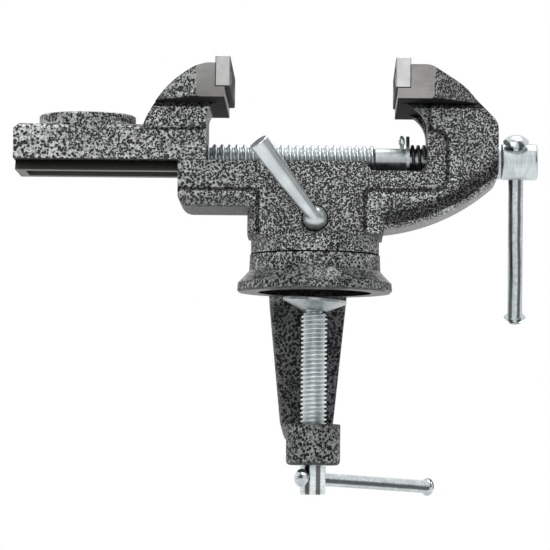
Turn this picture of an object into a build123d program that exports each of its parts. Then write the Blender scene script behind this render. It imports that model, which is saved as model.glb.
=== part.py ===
from build123d import *
import math
import os

# Small clamp-on bench vise on a swivel base, jaws fully open.
# Millimetres, +Z up. The origin is the centre of the base flange's underside,
# on the swivel axis. +X runs from the moving jaw towards the fixed jaw, +Y to the back.

# --- clearances -----------------------------------------------------------------
RUN_CLEARANCE = 0.06        # radial, a shaft turning or sliding in its bore
SLIDE_CLEARANCE = 0.15      # between sliding flats
SEAT_CLEARANCE = 0.05       # between fixed pieces and their seats
REST_GAP = 0.1              # a piece that rests against a stop
SCREW_ROOM = 1.3            # radial, round the lead screw where nothing guides it
NUT_ROOM = 0.6              # between the nut's keel and its channel
TIP_ROOM = 1.4              # the screw's tip to the rail's end wall, jaws closed
NOSE_ROOM = 0.7             # the moving jaw's nose to the end of the slideway
CLOSED_GAP = 0.2            # left between the jaw plates

# --- base casting ---------------------------------------------------------------
FLANGE_RADIUS = 31.1
FLANGE_RIM_HEIGHT = 3.8
FLANGE_BEVEL = 0.8
FLARE_ROUND = 0.25          # how far the flare swells past its two ends
FLARE_HEIGHT = 8.6
FLARE_BEND = 0.33           # where the flare's curve passes, share of its width and height
DRUM_RADIUS = 26.1
DRUM_HEIGHT = 15.0
HOLLOW_RADIUS = 22.7
HOLLOW_DEPTH = 10.6
HOLLOW_ROUND = 2.0
SPIGOT_RADIUS = 12.5
SPIGOT_HEIGHT = 20.5
SPIGOT_TOP_ROOM = 0.5
SPIGOT_GROOVE_DEPTH = 1.6
SPIGOT_GROOVE_FLOOR = 3.4   # width of the lock groove's floor
BASE_TURN = 5.5             # the clamp arm stands turned from the jaws, degrees
ARM_FRONT = 26.0            # screw axis to the front of the clamp arm
ARM_THICKNESS = 9.5
ARM_TOP_WIDTH = 31.5
ARM_FOOT_WIDTH = 21.4
ARM_CORNER = 8.0
ARM_SHOULDER = 3.0          # the arm's top corner, outside the flange
ARM_SHOULDER_FOOT = 9.0     # the corner below it, where the arm's back turns down
ARM_RISE = 1.5              # its top above the flange's rim
ARM_THROAT_ROUND = 4.0
ARM_TOE_INSET = 2.0
ARM_EDGE_ROUND = 1.8
SPINE_WIDTH = 7.5
SPINE_DEPTH = 3.5
SPINE_RUN = 9.0             # length of the rib's sloping ends
SPINE_ROUND = 6.0
BOSS_RADIUS = 10.85
BOSS_TOP = -52.7
BOSS_HEIGHT = 16.3
BOSS_ROUND = 1.8
WEB_THICKNESS = 6.0
WEB_DROP = 0.6              # the web's top below the boss's

# --- clamp screw ----------------------------------------------------------------
CLAMP_RADIUS = 5.2
CLAMP_PLAIN_RADIUS = 5.1
CLAMP_PLAIN_LENGTH = 11.8
CLAMP_NECK_RADIUS = 2.95
CLAMP_NECK_SHOWN = 1.2      # length of the neck below the pad
CLAMP_END_ROUND = 0.8
BALL_RADIUS = 3.6
BALL_TOP_CUT = 2.5          # height of the flat on the ball above its centre
BALL_TOP_ROOM = 0.3         # above that flat, so that the pad can tilt
PAD_RADIUS = 12.8
PAD_TOP = -2.1
PAD_RIM_HEIGHT = 1.5
PAD_HEIGHT = 5.0
PAD_NOSE_RADIUS = 5.4
PAD_ROOF = 0.8
PAD_BEVEL = 0.4
PAD_TILT = 4.0              # degrees, right side low

# --- clamp handle ---------------------------------------------------------------
CLAMP_BAR_RADIUS = 2.65
CLAMP_BAR_HEAD_RADIUS = 3.7
CLAMP_BAR_HEAD_LENGTH = 3.6
CLAMP_BAR_REACH = 67.5      # screw axis to the inside of the far head
CLAMP_BAR_DROP = 5.4        # below the end of the boss
CLAMP_BAR_YAW = 47.0        # degrees, far end to the right and back
CLAMP_BAR_DROOP = 1.8       # degrees, far end low

# --- body casting ---------------------------------------------------------------
BARREL_RADIUS = 25.7
BARREL_HEIGHT = 7.1
COLUMN_HALF_LENGTH = 27.0
COLUMN_CORNER = 8.0
PANEL_HALF_WIDTH = 19.5     # recessed side of the casting
BAND_PROUD = 1.3            # raised band round the sides
BAND_ROUND = 1.0
BELLY_ROUND = 6.0           # along both lower edges of the arm
BELLY_EASE = 1.0            # its centre lies this much deeper, so it meets the faces bluntly
SLEEVE_END = -54.7
SLEEVE_BOTTOM = 32.7
SLEEVE_TOP = 51.4
SLEEVE_CORNER = 5.0
STEP_HEIGHT = 39.8          # lower edge of the recessed panel
COLUMN_LEFT_BAND = 4.4      # width of the band down the column's left side
COLUMN_RIGHT_BAND = 7.5     # and down its right side, where the arm starts
PANEL_LEFT_ROUND = 4.0
PANEL_RIGHT_ROUND = 2.5
ARM_PANEL_BOTTOM = 40.2
ARM_PANEL_RIGHT = 52.1
ARM_PANEL_TOP = 63.6
ARM_PANEL_ROUND = 5.0
ARM_OUTER = 72.6
ARM_LOWER_CORNER = 45.0
ARM_UPPER_CORNER = 67.3
ARM_BACK_PLACE = 59.0       # x where the arm's back turns towards the top
ARM_BACK_DROP = 7.0         # how far below the head's top that is
ARM_CREST_PLACE = 45.0      # x where the back meets the flat top
ARM_BELLY = (50.0, 30.3)    # x, z on the curve under the arm
ARM_HEEL_INSET = 2.0        # how far inside the column that curve starts
ARM_HEEL_HEIGHT = 24.2      # z of its start
ARM_CORNER_ROUND = 4.5
ARM_SHOULDER_ROUND = 7.0
ARM_BACK_ROUND = 22.0
ARM_CREST_ROUND = 8.0
ARM_WALL = 44.5             # inner wall, which the spring bears on
THROAT_RADIUS = 11.5
JAW_UNDERSIDE = 74.5
HEAD_HEIGHT = 13.5
FIXED_HEAD_FRONT = 32.2
FIXED_FLAT_LENGTH = 14.4    # full-width machined part of the fixed jaw's head
MOVING_FLAT_LENGTH = 11.4
HEAD_TAPER_LENGTH = 17.5
NOTCH_FLOOR = 47.7
NOTCH_SLOPE = 2.4           # lean of the notch's left side
NOTCH_CORNER = 2.6
POCKET_FLOOR = 42.6
POCKET_HALF_WIDTH = 12.4

# --- jaws -----------------------------------------------------------------------
JAW_WIDTH = 75.0
JAW_OPENING = 65.2
PLATE_THICKNESS = 5.9
PLATE_LEDGE = 4.1           # height of the head below the plate
PLATE_HEIGHT = 12.4
PLATE_BEVEL = 0.4
FIXED_FACE = 31.4           # gripping face of the fixed plate
PLATE_SCREW_INSET = 14.5    # from each end of the plate
PLATE_SCREW_RADIUS = 2.0
PLATE_SCREW_HEAD_RADIUS = 3.9
PLATE_SCREW_DEPTH = 13.0
PLATE_SCREW_SUNK = 0.3
PLATE_SCREW_RIM = 0.3       # straight edge of the countersunk head
PLATE_HOLE_ROOM = 1.0       # depth left under each screw

# --- moving jaw casting ---------------------------------------------------------
MOVING_HEAD_SETBACK = 2.2   # casting face behind the plate face
NECK_FRONT = -43.7
NECK_HALF_WIDTH = 18.4
NECK_BACK = -68.7
NECK_FILLET = 5.5
HEAD_CREST = -43.0          # x where the moving head's top turns down
NECK_CURVE_PLACE = -60.4    # x of a point half way down the neck's curved back
NECK_CURVE_DROP = 9.4       # how far below the head's top that is
BAR_END = -120.4
BAR_HALF_WIDTH = 19.0
BAR_BOTTOM = 51.6
BAR_TOP = 65.6
BAR_EDGE_ROUND = 1.9
BAR_END_CHAMFER = 2.2
ANVIL_CENTRE = -92.0
ANVIL_RADIUS = 19.4
ANVIL_TOP = 70.5
ANVIL_ROOT = 63.4
ANVIL_EDGE = 0.9
ANVIL_FOOT_ROUND = 2.0      # hollow curve where it meets the bar
RAIL_BOTTOM = 47.3
RAIL_HALF_WIDTH = 15.2
RAIL_NECK_HALF_WIDTH = 12.8
RAIL_END_WALL = 4.5
RAIL_OPENING_HALF_WIDTH = 9.6
RAIL_OPENING_TOP = 50.4
RAIL_SETBACK = 0.6          # the rail's end behind the bar's
NUT_LENGTH = 10.5
NUT_HALF_WIDTH = 6.8
NUT_WALL = 1.6              # under the lead screw

# --- lead screw -----------------------------------------------------------------
SCREW_HEIGHT = 53.5
SCREW_RADIUS = 6.1
SCREW_END_BEVEL = 1.0
THREAD_RUNOUT = 2.0         # thread past the end of the slideway
SHAFT_RADIUS = 4.95
HEAD_RADIUS = 7.3
HEAD_LENGTH = 14.8
HEAD_ROUND = 1.2
WASHER_RADIUS = 9.9
WASHER_THICKNESS = 1.3
COLLAR_RADIUS = 7.0
COLLAR_THICKNESS = 1.5
SPRING_WIRE_RADIUS = 0.65
SPRING_SHAFT_GAP = 0.3
SPRING_LENGTH = 7.0         # room between the washer and the wall
SPRING_END_PITCH = 1.9
SPRING_END_TURNS = 0.75
SPRING_TURNS = 2.5
PIN_WIRE_RADIUS = 0.55
PIN_EYE_RADIUS = 1.7
PIN_EYE_NECK_RADIUS = 1.1
PIN_SHOULDER = 5.7          # screw axis to the root of the eye
PIN_LEG = 7.4               # screw axis to the bend of the legs
PIN_TAIL = 1.6
PIN_GAP = 0.15              # between the two legs
PIN_TURN = 62.0             # plane of the eye, degrees from the screw axis

# --- lead handle ----------------------------------------------------------------
LEAD_BAR_RADIUS = 3.05
LEAD_BAR_HEAD_RADIUS = 5.15
LEAD_BAR_END_RADIUS = 4.7   # the head formed last is the smaller one
LEAD_BAR_HEAD_LENGTH = 4.2
LEAD_BAR_REACH = 71.0       # screw axis to the inside of the lower head
LEAD_BAR_INSET = 6.2        # from the inner end of the screw's head
LEAD_BAR_LEAN = 34.0        # degrees, upper end towards the front
LEAD_BAR_TILT = 1.5         # degrees, the hole is drilled slightly off square

# --- swivel lock ----------------------------------------------------------------
LOCK_HEIGHT = 28.5
LOCK_STUD_RADIUS = 3.4
LOCK_TIP_RADIUS = 1.5
LOCK_SHANK_SHORT = 0.4      # the full shank stops this far from the spigot
LOCK_SHANK_BEVEL = 0.6
LOCK_SOCKET_DEPTH = 3.0
LOCK_DOME_RADIUS = 4.85
LOCK_DOME_ROOM = 0.5        # the counterbore round the dome
LOCK_DOME_RIM = 1.0         # straight part of the dome above the panel
LOCK_DOME_HEIGHT = 4.4
LOCK_COUNTERBORE_DEPTH = 2.2
LEVER_LENGTH = 38.5
LEVER_ROOT_RADIUS = 2.45
LEVER_END_RADIUS = 4.1
LEVER_END_ROUND = 0.6
LEVER_SWING = 38.0          # degrees from upright, to the left
LEVER_LEAN = 18.0           # degrees out from the casting
LEVER_SUNK = 1.4            # its root below the dome's top

# --- upset heads of the bars ----------------------------------------------------
BAR_HEAD_FLARE = 0.42       # share of a head's length that flares out
BAR_FLARE_ALONG = 0.72      # where the flare's curve passes, share of its length
BAR_FLARE_OUT = 0.3         # and share of its height

# --- worked out -----------------------------------------------------------------
MOVING_FACE = FIXED_FACE - JAW_OPENING
MOVING_HEAD_FRONT = MOVING_FACE - MOVING_HEAD_SETBACK
FIXED_SEAT = FIXED_FACE + PLATE_THICKNESS
MOVING_SEAT = MOVING_FACE - PLATE_THICKNESS
HEAD_TOP = JAW_UNDERSIDE + HEAD_HEIGHT
PLATE_BOTTOM = JAW_UNDERSIDE + PLATE_LEDGE
PLATE_TOP = PLATE_BOTTOM + PLATE_HEIGHT
PANEL_LEFT = COLUMN_LEFT_BAND - COLUMN_HALF_LENGTH
PANEL_RIGHT = COLUMN_HALF_LENGTH - COLUMN_RIGHT_BAND
ARM_HEEL = (COLUMN_HALF_LENGTH - ARM_HEEL_INSET, ARM_HEEL_HEIGHT)
ARM_BACK = (ARM_BACK_PLACE, HEAD_TOP - ARM_BACK_DROP)
ARM_CREST = (ARM_CREST_PLACE, HEAD_TOP)
BAND_HALF_WIDTH = PANEL_HALF_WIDTH + BAND_PROUD
BARREL_BOTTOM = DRUM_HEIGHT + SLIDE_CLEARANCE
BARREL_TOP = DRUM_HEIGHT + BARREL_HEIGHT
ARM_BACK_FACE = ARM_FRONT + ARM_THICKNESS
WEB_BOTTOM = BOSS_TOP - WEB_THICKNESS
JAW_TRAVEL = JAW_OPENING - CLOSED_GAP
SLIDEWAY_END = NECK_FRONT + JAW_TRAVEL + NOSE_ROOM
NUT_START = NECK_FRONT - NUT_LENGTH
NUT_BOTTOM = SCREW_HEIGHT - SCREW_RADIUS - NUT_WALL
CHANNEL_START = BAR_END + RAIL_END_WALL
CHANNEL_RADIUS = SCREW_RADIUS + SCREW_ROOM
SCREW_TIP = CHANNEL_START + JAW_TRAVEL + TIP_ROOM
SCREW_THREAD_END = SLIDEWAY_END + THREAD_RUNOUT
SPRING_RADIUS = SHAFT_RADIUS + SPRING_SHAFT_GAP + SPRING_WIRE_RADIUS
SPIGOT_TOP = DRUM_HEIGHT + SPIGOT_HEIGHT
HEAD_START = ARM_OUTER + COLLAR_THICKNESS + REST_GAP
SPRING_SEAT = ARM_WALL - SPRING_LENGTH
WASHER_START = SPRING_SEAT - WASHER_THICKNESS
PIN_OFFSET = PIN_WIRE_RADIUS + PIN_GAP / 2
PIN_REACH = (PIN_OFFSET + PIN_TAIL) * math.cos(math.radians(PIN_TURN))
PIN_CENTRE = WASHER_START - PIN_REACH - PIN_WIRE_RADIUS - REST_GAP
PAD_BOTTOM = PAD_TOP - PAD_HEIGHT
BALL_CENTRE = PAD_TOP - PAD_ROOF - BALL_TOP_ROOM - BALL_TOP_CUT
CLAMP_NECK_BOTTOM = PAD_BOTTOM - CLAMP_NECK_SHOWN
BOSS_BOTTOM = BOSS_TOP - BOSS_HEIGHT
CLAMP_BAR_HEIGHT = BOSS_BOTTOM - CLAMP_BAR_DROP
LEAD_BAR_PLACE = HEAD_START + LEAD_BAR_INSET
PLATE_MIDDLE = (PLATE_BOTTOM + PLATE_TOP) / 2
LOCK_COUNTERBORE_RADIUS = LOCK_DOME_RADIUS + LOCK_DOME_ROOM
OVERSHOOT = 1.0             # how far a cutting tool runs past a face
FAR = 200.0                 # beyond the whole vise


# --- helpers --------------------------------------------------------------------
def side_slab(face, half_width):
    """A side view, drawn as x and z, grown equally to the front and back."""
    return extrude(Plane.XZ * face, amount=half_width, both=True)


def end_bar(face, start, end):
    """A cross-section, drawn as y and z, run from start to end along X."""
    return Pos(start, 0, 0) * extrude(Plane.YZ * face, amount=end - start)


def block(x, y, z):
    """A box between the given (low, high) pairs."""
    size = [high - low for low, high in (x, y, z)]
    middle = [(high + low) / 2 for low, high in (x, y, z)]
    return Pos(*middle) * Box(*size)


def rod_x(radius, start, end, height=SCREW_HEIGHT):
    """A round rod along X at the given height."""
    rod = Cylinder(radius, end - start, rotation=(0, 90, 0))
    return Pos((start + end) / 2, 0, height) * rod


def rod_z(radius, bottom, top):
    """A round rod on the swivel axis."""
    return Pos(0, 0, (bottom + top) / 2) * Cylinder(radius, top - bottom)


def near(sketch, *points):
    """The corners of a sketch that lie closest to the given points."""
    return [sketch.vertices().sort_by_distance(Vector(*point))[0] for point in points]


def polygon(*points):
    return make_face(Polyline(*points, close=True))


def rounded_outline(points, radii):
    """A closed outline with its own radius at each corner."""
    return make_face(FilletPolyline(*points, radius=radii, close=True))


# --- base -----------------------------------------------------------------------
def base_drum():
    """Drum with a flared flange and the spigot that the body turns on."""
    rim = (FLANGE_RADIUS - FLARE_ROUND, FLANGE_RIM_HEIGHT)
    flare = (DRUM_RADIUS + FLARE_ROUND, FLARE_HEIGHT)
    waist = (
        DRUM_RADIUS + (FLANGE_RADIUS - DRUM_RADIUS) * FLARE_BEND,
        FLARE_HEIGHT - (FLARE_HEIGHT - FLANGE_RIM_HEIGHT) * FLARE_BEND,
    )
    outline = [
        Polyline(
            (0, 0), (FLANGE_RADIUS - FLANGE_BEVEL, 0), (FLANGE_RADIUS, FLANGE_BEVEL), rim
        ),
        ThreePointArc(rim, waist, flare),
        Polyline(
            flare,
            (DRUM_RADIUS, DRUM_HEIGHT),
            (SPIGOT_RADIUS, DRUM_HEIGHT),
            (SPIGOT_RADIUS, SPIGOT_TOP),
            (0, SPIGOT_TOP),
            (0, 0),
        ),
    ]
    drum = revolve(Plane.XZ * make_face(outline), Axis.Z)
    hollow = rod_z(HOLLOW_RADIUS, -OVERSHOOT, HOLLOW_DEPTH)
    hollow = fillet(hollow.edges().group_by(Axis.Z)[-1], HOLLOW_ROUND)
    return drum - hollow - lock_groove()


def lock_groove():
    """Ring groove in the spigot, with sloping sides, which the lock's tip enters."""
    floor = SPIGOT_RADIUS - SPIGOT_GROOVE_DEPTH
    mouth = SPIGOT_RADIUS + OVERSHOOT
    half_floor = SPIGOT_GROOVE_FLOOR / 2
    half_mouth = half_floor + mouth - floor
    groove = polygon(
        (mouth, LOCK_HEIGHT - half_mouth), (floor, LOCK_HEIGHT - half_floor),
        (floor, LOCK_HEIGHT + half_floor), (mouth, LOCK_HEIGHT + half_mouth),
    )
    return revolve(Plane.XZ * groove, Axis.Z)


def arm_side():
    """The clamp arm from the side, as y and z: down the back, then in to the screw."""
    top = FLANGE_RIM_HEIGHT + ARM_RISE
    web_top = BOSS_TOP - WEB_DROP
    return rounded_outline(
        [
            (ARM_FRONT, top), (ARM_BACK_FACE - ARM_SHOULDER, top),
            (ARM_BACK_FACE, -ARM_SHOULDER), (ARM_BACK_FACE, WEB_BOTTOM),
            (0, WEB_BOTTOM), (0, web_top), (ARM_FRONT, web_top),
        ],
        [0, ARM_SHOULDER, ARM_SHOULDER_FOOT, ARM_CORNER, 0, 0, ARM_THROAT_ROUND],
    )


def arm_front():
    """The clamp arm from the front, as x and z: it narrows towards the boss."""
    root, foot = ARM_TOP_WIDTH / 2, ARM_FOOT_WIDTH / 2
    toe = foot - ARM_TOE_INSET
    knee = BOSS_TOP + ARM_TOE_INSET
    high, low = FLANGE_RIM_HEIGHT + ARM_RISE + OVERSHOOT, WEB_BOTTOM - OVERSHOOT
    return polygon(
        (-root, high), (root, high), (root, 0), (foot, knee),
        (toe, low), (-toe, low), (-foot, knee), (-root, 0),
    )


def clamp_arm():
    """C-shaped arm behind the clamp screw, with the web to the screw's boss."""
    arm = extrude(Plane.YZ * arm_side(), amount=ARM_TOP_WIDTH, both=True)
    arm &= extrude(Plane.XZ * arm_front(), amount=-2 * ARM_BACK_FACE)
    outside = ARM_FOOT_WIDTH / 2 - ARM_TOE_INSET - OVERSHOOT
    long_edges = arm.edges().filter_by(
        lambda edge: edge.length > ARM_FRONT and abs(edge.center().X) > outside
    )
    return fillet(long_edges, ARM_EDGE_ROUND) + arm_spine()


def arm_spine():
    """Rib down the back of the arm, sloping in at both ends."""
    inside = ARM_BACK_FACE - OVERSHOOT
    outside = ARM_BACK_FACE + SPINE_DEPTH
    foot = WEB_BOTTOM + ARM_CORNER
    rib = rounded_outline(
        [
            (inside, 0), (outside, -SPINE_RUN), (outside, foot + SPINE_RUN), (inside, foot)
        ],
        [0, SPINE_ROUND, SPINE_ROUND, 0],
    )
    return extrude(Plane.YZ * rib, amount=SPINE_WIDTH / 2, both=True)


def base_casting():
    boss = rod_z(BOSS_RADIUS, BOSS_BOTTOM, BOSS_TOP)
    boss = fillet(boss.edges().group_by(Axis.Z)[0], BOSS_ROUND)
    bore = rod_z(CLAMP_RADIUS + RUN_CLEARANCE, BOSS_BOTTOM - OVERSHOOT, BOSS_TOP + OVERSHOOT)
    return base_drum() + Rot(0, 0, BASE_TURN) * clamp_arm() + boss - bore


# --- clamp screw ----------------------------------------------------------------
def clamp_bar_place():
    """Where the clamp handle crosses the screw; its +X points at the far end."""
    swing = Rot(0, 0, CLAMP_BAR_YAW) * Rot(0, CLAMP_BAR_DROOP, 0)
    return Pos(0, 0, CLAMP_BAR_HEIGHT) * swing


def ball(radius, top):
    """A ball in the pad, flattened at the given height above its centre."""
    above = block((-radius, radius), (-radius, radius), (top, top + radius))
    return Pos(0, 0, BALL_CENTRE) * (Sphere(radius) - above)


def clamp_screw():
    neck = rod_z(CLAMP_NECK_RADIUS, CLAMP_NECK_BOTTOM, BALL_CENTRE)
    thread = rod_z(CLAMP_RADIUS, BOSS_BOTTOM, CLAMP_NECK_BOTTOM)
    thread = chamfer(thread.edges().group_by(Axis.Z)[-1], CLAMP_END_ROUND)
    plain = rod_z(CLAMP_PLAIN_RADIUS, BOSS_BOTTOM - CLAMP_PLAIN_LENGTH, BOSS_BOTTOM)
    plain = fillet(plain.edges().group_by(Axis.Z)[0], CLAMP_END_ROUND)
    hole = Cylinder(
        CLAMP_BAR_RADIUS + RUN_CLEARANCE, 4 * CLAMP_PLAIN_RADIUS, rotation=(0, 90, 0)
    )
    tip = ball(BALL_RADIUS, BALL_TOP_CUT)
    return tip + neck + thread + plain - clamp_bar_place() * hole


def clamp_pad():
    """Swivelling pad: a flat disc with a conical back, closed over the ball."""
    outline = polygon(
        (0, PAD_TOP), (PAD_RADIUS - PAD_BEVEL, PAD_TOP), (PAD_RADIUS, PAD_TOP - PAD_BEVEL),
        (PAD_RADIUS, PAD_TOP - PAD_RIM_HEIGHT), (PAD_NOSE_RADIUS, PAD_BOTTOM),
        (0, PAD_BOTTOM),
    )
    pad = revolve(Plane.XZ * outline, Axis.Z)
    pad -= ball(BALL_RADIUS + RUN_CLEARANCE, BALL_TOP_CUT + BALL_TOP_ROOM)
    centre = Pos(0, 0, BALL_CENTRE)
    return centre * Rot(0, PAD_TILT, 0) * centre.inverse() * pad


def head_outline(end, way, radius, head_radius, length):
    """Upset end of a bar, from the shank outwards: a short flare, then a round dome."""
    rim = length * BAR_HEAD_FLARE
    flare_middle = (
        end + way * rim * BAR_FLARE_ALONG, radius + (head_radius - radius) * BAR_FLARE_OUT
    )
    dome = length - rim
    dome_radius = (dome**2 + head_radius**2) / (2 * dome)
    turn = math.asin(head_radius / dome_radius) / 2
    dome_middle = (
        end + way * (length - dome_radius * (1 - math.cos(turn))),
        dome_radius * math.sin(turn),
    )
    return [
        ThreePointArc((end, radius), flare_middle, (end + way * rim, head_radius)),
        ThreePointArc((end + way * rim, head_radius), dome_middle, (end + way * length, 0)),
    ]


def headed_bar(radius, head_length, low, high, low_head, high_head):
    """A bar along X from low to high, with an upset, domed head past each end."""
    outline = [
        Line((low, radius), (high, radius)),
        *head_outline(high, 1, radius, high_head, head_length),
        Line((high + head_length, 0), (low - head_length, 0)),
        *head_outline(low, -1, radius, low_head, head_length),
    ]
    return revolve(make_face(outline), Axis.X)


def clamp_handle_bar():
    bar = headed_bar(
        CLAMP_BAR_RADIUS, CLAMP_BAR_HEAD_LENGTH,
        -(CLAMP_PLAIN_RADIUS + REST_GAP), CLAMP_BAR_REACH,
        CLAMP_BAR_HEAD_RADIUS, CLAMP_BAR_HEAD_RADIUS,
    )
    return clamp_bar_place() * bar


# --- body -----------------------------------------------------------------------
def body_side():
    """Side view of the body: sleeve, column, curved arm and jaw head."""
    sleeve = polygon(
        (SLEEVE_END, SLEEVE_BOTTOM), (0, SLEEVE_BOTTOM),
        (0, SLEEVE_TOP), (SLEEVE_END, SLEEVE_TOP),
    )
    sleeve = fillet(near(sleeve, (SLEEVE_END, SLEEVE_BOTTOM)), SLEEVE_CORNER)
    column = polygon(
        (-COLUMN_HALF_LENGTH, BARREL_TOP), (COLUMN_HALF_LENGTH, BARREL_TOP),
        (COLUMN_HALF_LENGTH, SLEEVE_TOP), (-COLUMN_HALF_LENGTH, SLEEVE_TOP),
    )
    return sleeve + column + arm_outline()


def belly_arc():
    """The curve under the arm, from the column to the arm's lower outside corner."""
    return ThreePointArc(ARM_HEEL, ARM_BELLY, (ARM_OUTER, ARM_LOWER_CORNER))


def arm_outline():
    """The curved arm and the jaw head above it, from the side."""
    corner, shoulder = (ARM_OUTER, ARM_LOWER_CORNER), (ARM_OUTER, ARM_UPPER_CORNER)
    arm = make_face(
        [
            belly_arc(),
            Polyline(
                corner, shoulder, ARM_BACK, ARM_CREST,
                (FIXED_HEAD_FRONT, HEAD_TOP), (FIXED_HEAD_FRONT, JAW_UNDERSIDE),
                (ARM_WALL, JAW_UNDERSIDE), (ARM_WALL, SLEEVE_TOP),
                (ARM_HEEL[0], SLEEVE_TOP), ARM_HEEL,
            ),
        ]
    )
    arm = fillet(near(arm, corner), ARM_CORNER_ROUND)
    arm = fillet(near(arm, shoulder), ARM_SHOULDER_ROUND)
    arm = fillet(near(arm, ARM_BACK), ARM_BACK_ROUND)
    arm = fillet(near(arm, ARM_CREST), ARM_CREST_ROUND)
    throat = min(THROAT_RADIUS, ARM_WALL - FIXED_HEAD_FRONT - SEAT_CLEARANCE)
    return fillet(near(arm, (ARM_WALL, JAW_UNDERSIDE)), throat)


def body_panel():
    """The recessed area in the side view, inside the raised band."""
    left, top = -FAR, SLEEVE_TOP + OVERSHOOT
    inner = ARM_WALL - OVERSHOOT
    return rounded_outline(
        [
            (left, STEP_HEIGHT), (PANEL_LEFT, STEP_HEIGHT),
            (PANEL_LEFT, 0), (PANEL_RIGHT, 0),
            (PANEL_RIGHT, ARM_PANEL_BOTTOM), (ARM_PANEL_RIGHT, ARM_PANEL_BOTTOM),
            (ARM_PANEL_RIGHT, ARM_PANEL_TOP), (inner, ARM_PANEL_TOP),
            (inner, top), (left, top),
        ],
        [
            0, PANEL_LEFT_ROUND, 0, 0, PANEL_RIGHT_ROUND, ARM_PANEL_ROUND,
            PANEL_RIGHT_ROUND, 0, 0, 0,
        ],
    )


def below_head():
    """The side view of the body below the jaw head."""
    low = polygon((-FAR, 0), (FAR, 0), (FAR, JAW_UNDERSIDE), (-FAR, JAW_UNDERSIDE))
    return body_side() & low


def is_band_rim(edge):
    """True for an edge of the band's flat sides, other than that of the rounded belly."""
    flat = abs(abs(edge.center().Y) - BAND_HALF_WIDTH) < SEAT_CLEARANCE
    if not flat or edge.geom_type != GeomType.CIRCLE:
        return flat
    return abs(edge.radius - (belly_arc().radius - BELLY_ROUND)) > SEAT_CLEARANCE


def raised_band():
    """Band round the sides, softly rounded along its edges."""
    band = Part()
    for piece in (below_head() - body_panel()).faces():
        slab = side_slab(piece, BAND_HALF_WIDTH) - belly_offcut()
        band += fillet(slab.edges().filter_by(is_band_rim), BAND_ROUND)
    return band


def belly_offcut():
    """What rounding takes off both lower edges of the curved arm, past the column."""
    belly = belly_arc()
    centre = belly.arc_center
    depth = BELLY_ROUND + BELLY_EASE
    reach = depth + OVERSHOOT
    corner = Pos(belly.radius - depth, BAND_HALF_WIDTH - depth) * (
        Rectangle(reach, reach, align=Align.MIN) - Circle(math.hypot(depth, BELLY_EASE))
    )
    ring = revolve(corner, Axis.Y)
    ring += mirror(ring, Plane.XZ)
    beyond = block((COLUMN_HALF_LENGTH, FAR), (-FAR, FAR), (-FAR, JAW_UNDERSIDE))
    return Pos(centre.X, 0, centre.Y) * ring & beyond


def head_plan(front, flat_length, direction):
    """Top view of a jaw head: full width at the face, tapering to the neck."""
    flat = front + direction * flat_length
    back = flat + direction * HEAD_TAPER_LENGTH
    end = direction * FAR
    half = JAW_WIDTH / 2
    return polygon(
        (front, -half), (flat, -half), (back, -PANEL_HALF_WIDTH),
        (end, -PANEL_HALF_WIDTH), (end, PANEL_HALF_WIDTH), (back, PANEL_HALF_WIDTH),
        (flat, half), (front, half),
    )


def above_underside():
    return block((-FAR, FAR), (-FAR, FAR), (JAW_UNDERSIDE, FAR))


def jaw_head(side, front, flat_length, direction):
    """The part of a side view above the jaw's underside, cut to the head's plan."""
    plan = extrude(head_plan(front, flat_length, direction), amount=FAR)
    return side_slab(side, JAW_WIDTH) & above_underside() & plan


def plate_screw_spots():
    reach = JAW_WIDTH / 2 - PLATE_SCREW_INSET
    return [(side * reach, PLATE_MIDDLE) for side in (-1, 1)]


def jaw_seat(face, seat, direction):
    """Everything that a plate and its screws take out of a jaw casting."""
    wall = seat + direction * SEAT_CLEARANCE
    ahead = face - direction * FAR
    cut = block(
        sorted((ahead, wall)), (-FAR, FAR), (PLATE_BOTTOM - SEAT_CLEARANCE, FAR)
    )
    bottom = face + direction * (PLATE_SCREW_DEPTH + PLATE_HOLE_ROOM)
    for y, z in plate_screw_spots():
        hole = rod_x(PLATE_SCREW_RADIUS + SEAT_CLEARANCE, *sorted((face, bottom)), height=z)
        cut += Pos(0, y, 0) * hole
    return cut


def dovetail(half_neck, half_bottom, bottom, top):
    """Cross-section of the slide, wider at the bottom than at the neck."""
    return polygon(
        (-half_bottom, bottom), (half_bottom, bottom), (half_neck, top), (-half_neck, top)
    )


def slideway():
    """Dovetail channel through the sleeve, with a deeper channel for the nut."""
    slope = (RAIL_HALF_WIDTH - RAIL_NECK_HALF_WIDTH) / (BAR_BOTTOM - RAIL_BOTTOM)
    floor = RAIL_BOTTOM - SLIDE_CLEARANCE
    top = SLEEVE_TOP + OVERSHOOT
    neck = RAIL_NECK_HALF_WIDTH + SLIDE_CLEARANCE - slope * (top - BAR_BOTTOM)
    foot = RAIL_HALF_WIDTH + SLIDE_CLEARANCE + slope * SLIDE_CLEARANCE
    start, end = SLEEVE_END - OVERSHOOT, SLIDEWAY_END + OVERSHOOT
    channel = end_bar(dovetail(neck, foot, floor, top), start, end)
    half = NUT_HALF_WIDTH + NUT_ROOM
    return channel + block((start, end), (-half, half), (NUT_BOTTOM - NUT_ROOM, top))


def spring_pocket():
    """Pocket for the spring, washer and split pin, open at the top and the sides."""
    pocket = block(
        (SLIDEWAY_END, ARM_WALL),
        (-POCKET_HALF_WIDTH, POCKET_HALF_WIDTH),
        (POCKET_FLOOR, JAW_UNDERSIDE - OVERSHOOT),
    )
    top = SLEEVE_TOP + OVERSHOOT
    notch = polygon(
        (SLIDEWAY_END - NOTCH_SLOPE, top), (SLIDEWAY_END, NOTCH_FLOOR),
        (ARM_WALL - NOTCH_CORNER, NOTCH_FLOOR), (ARM_WALL, NOTCH_FLOOR + NOTCH_CORNER),
        (ARM_WALL, top),
    )
    return pocket + side_slab(notch, BAND_HALF_WIDTH + OVERSHOOT)


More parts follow.
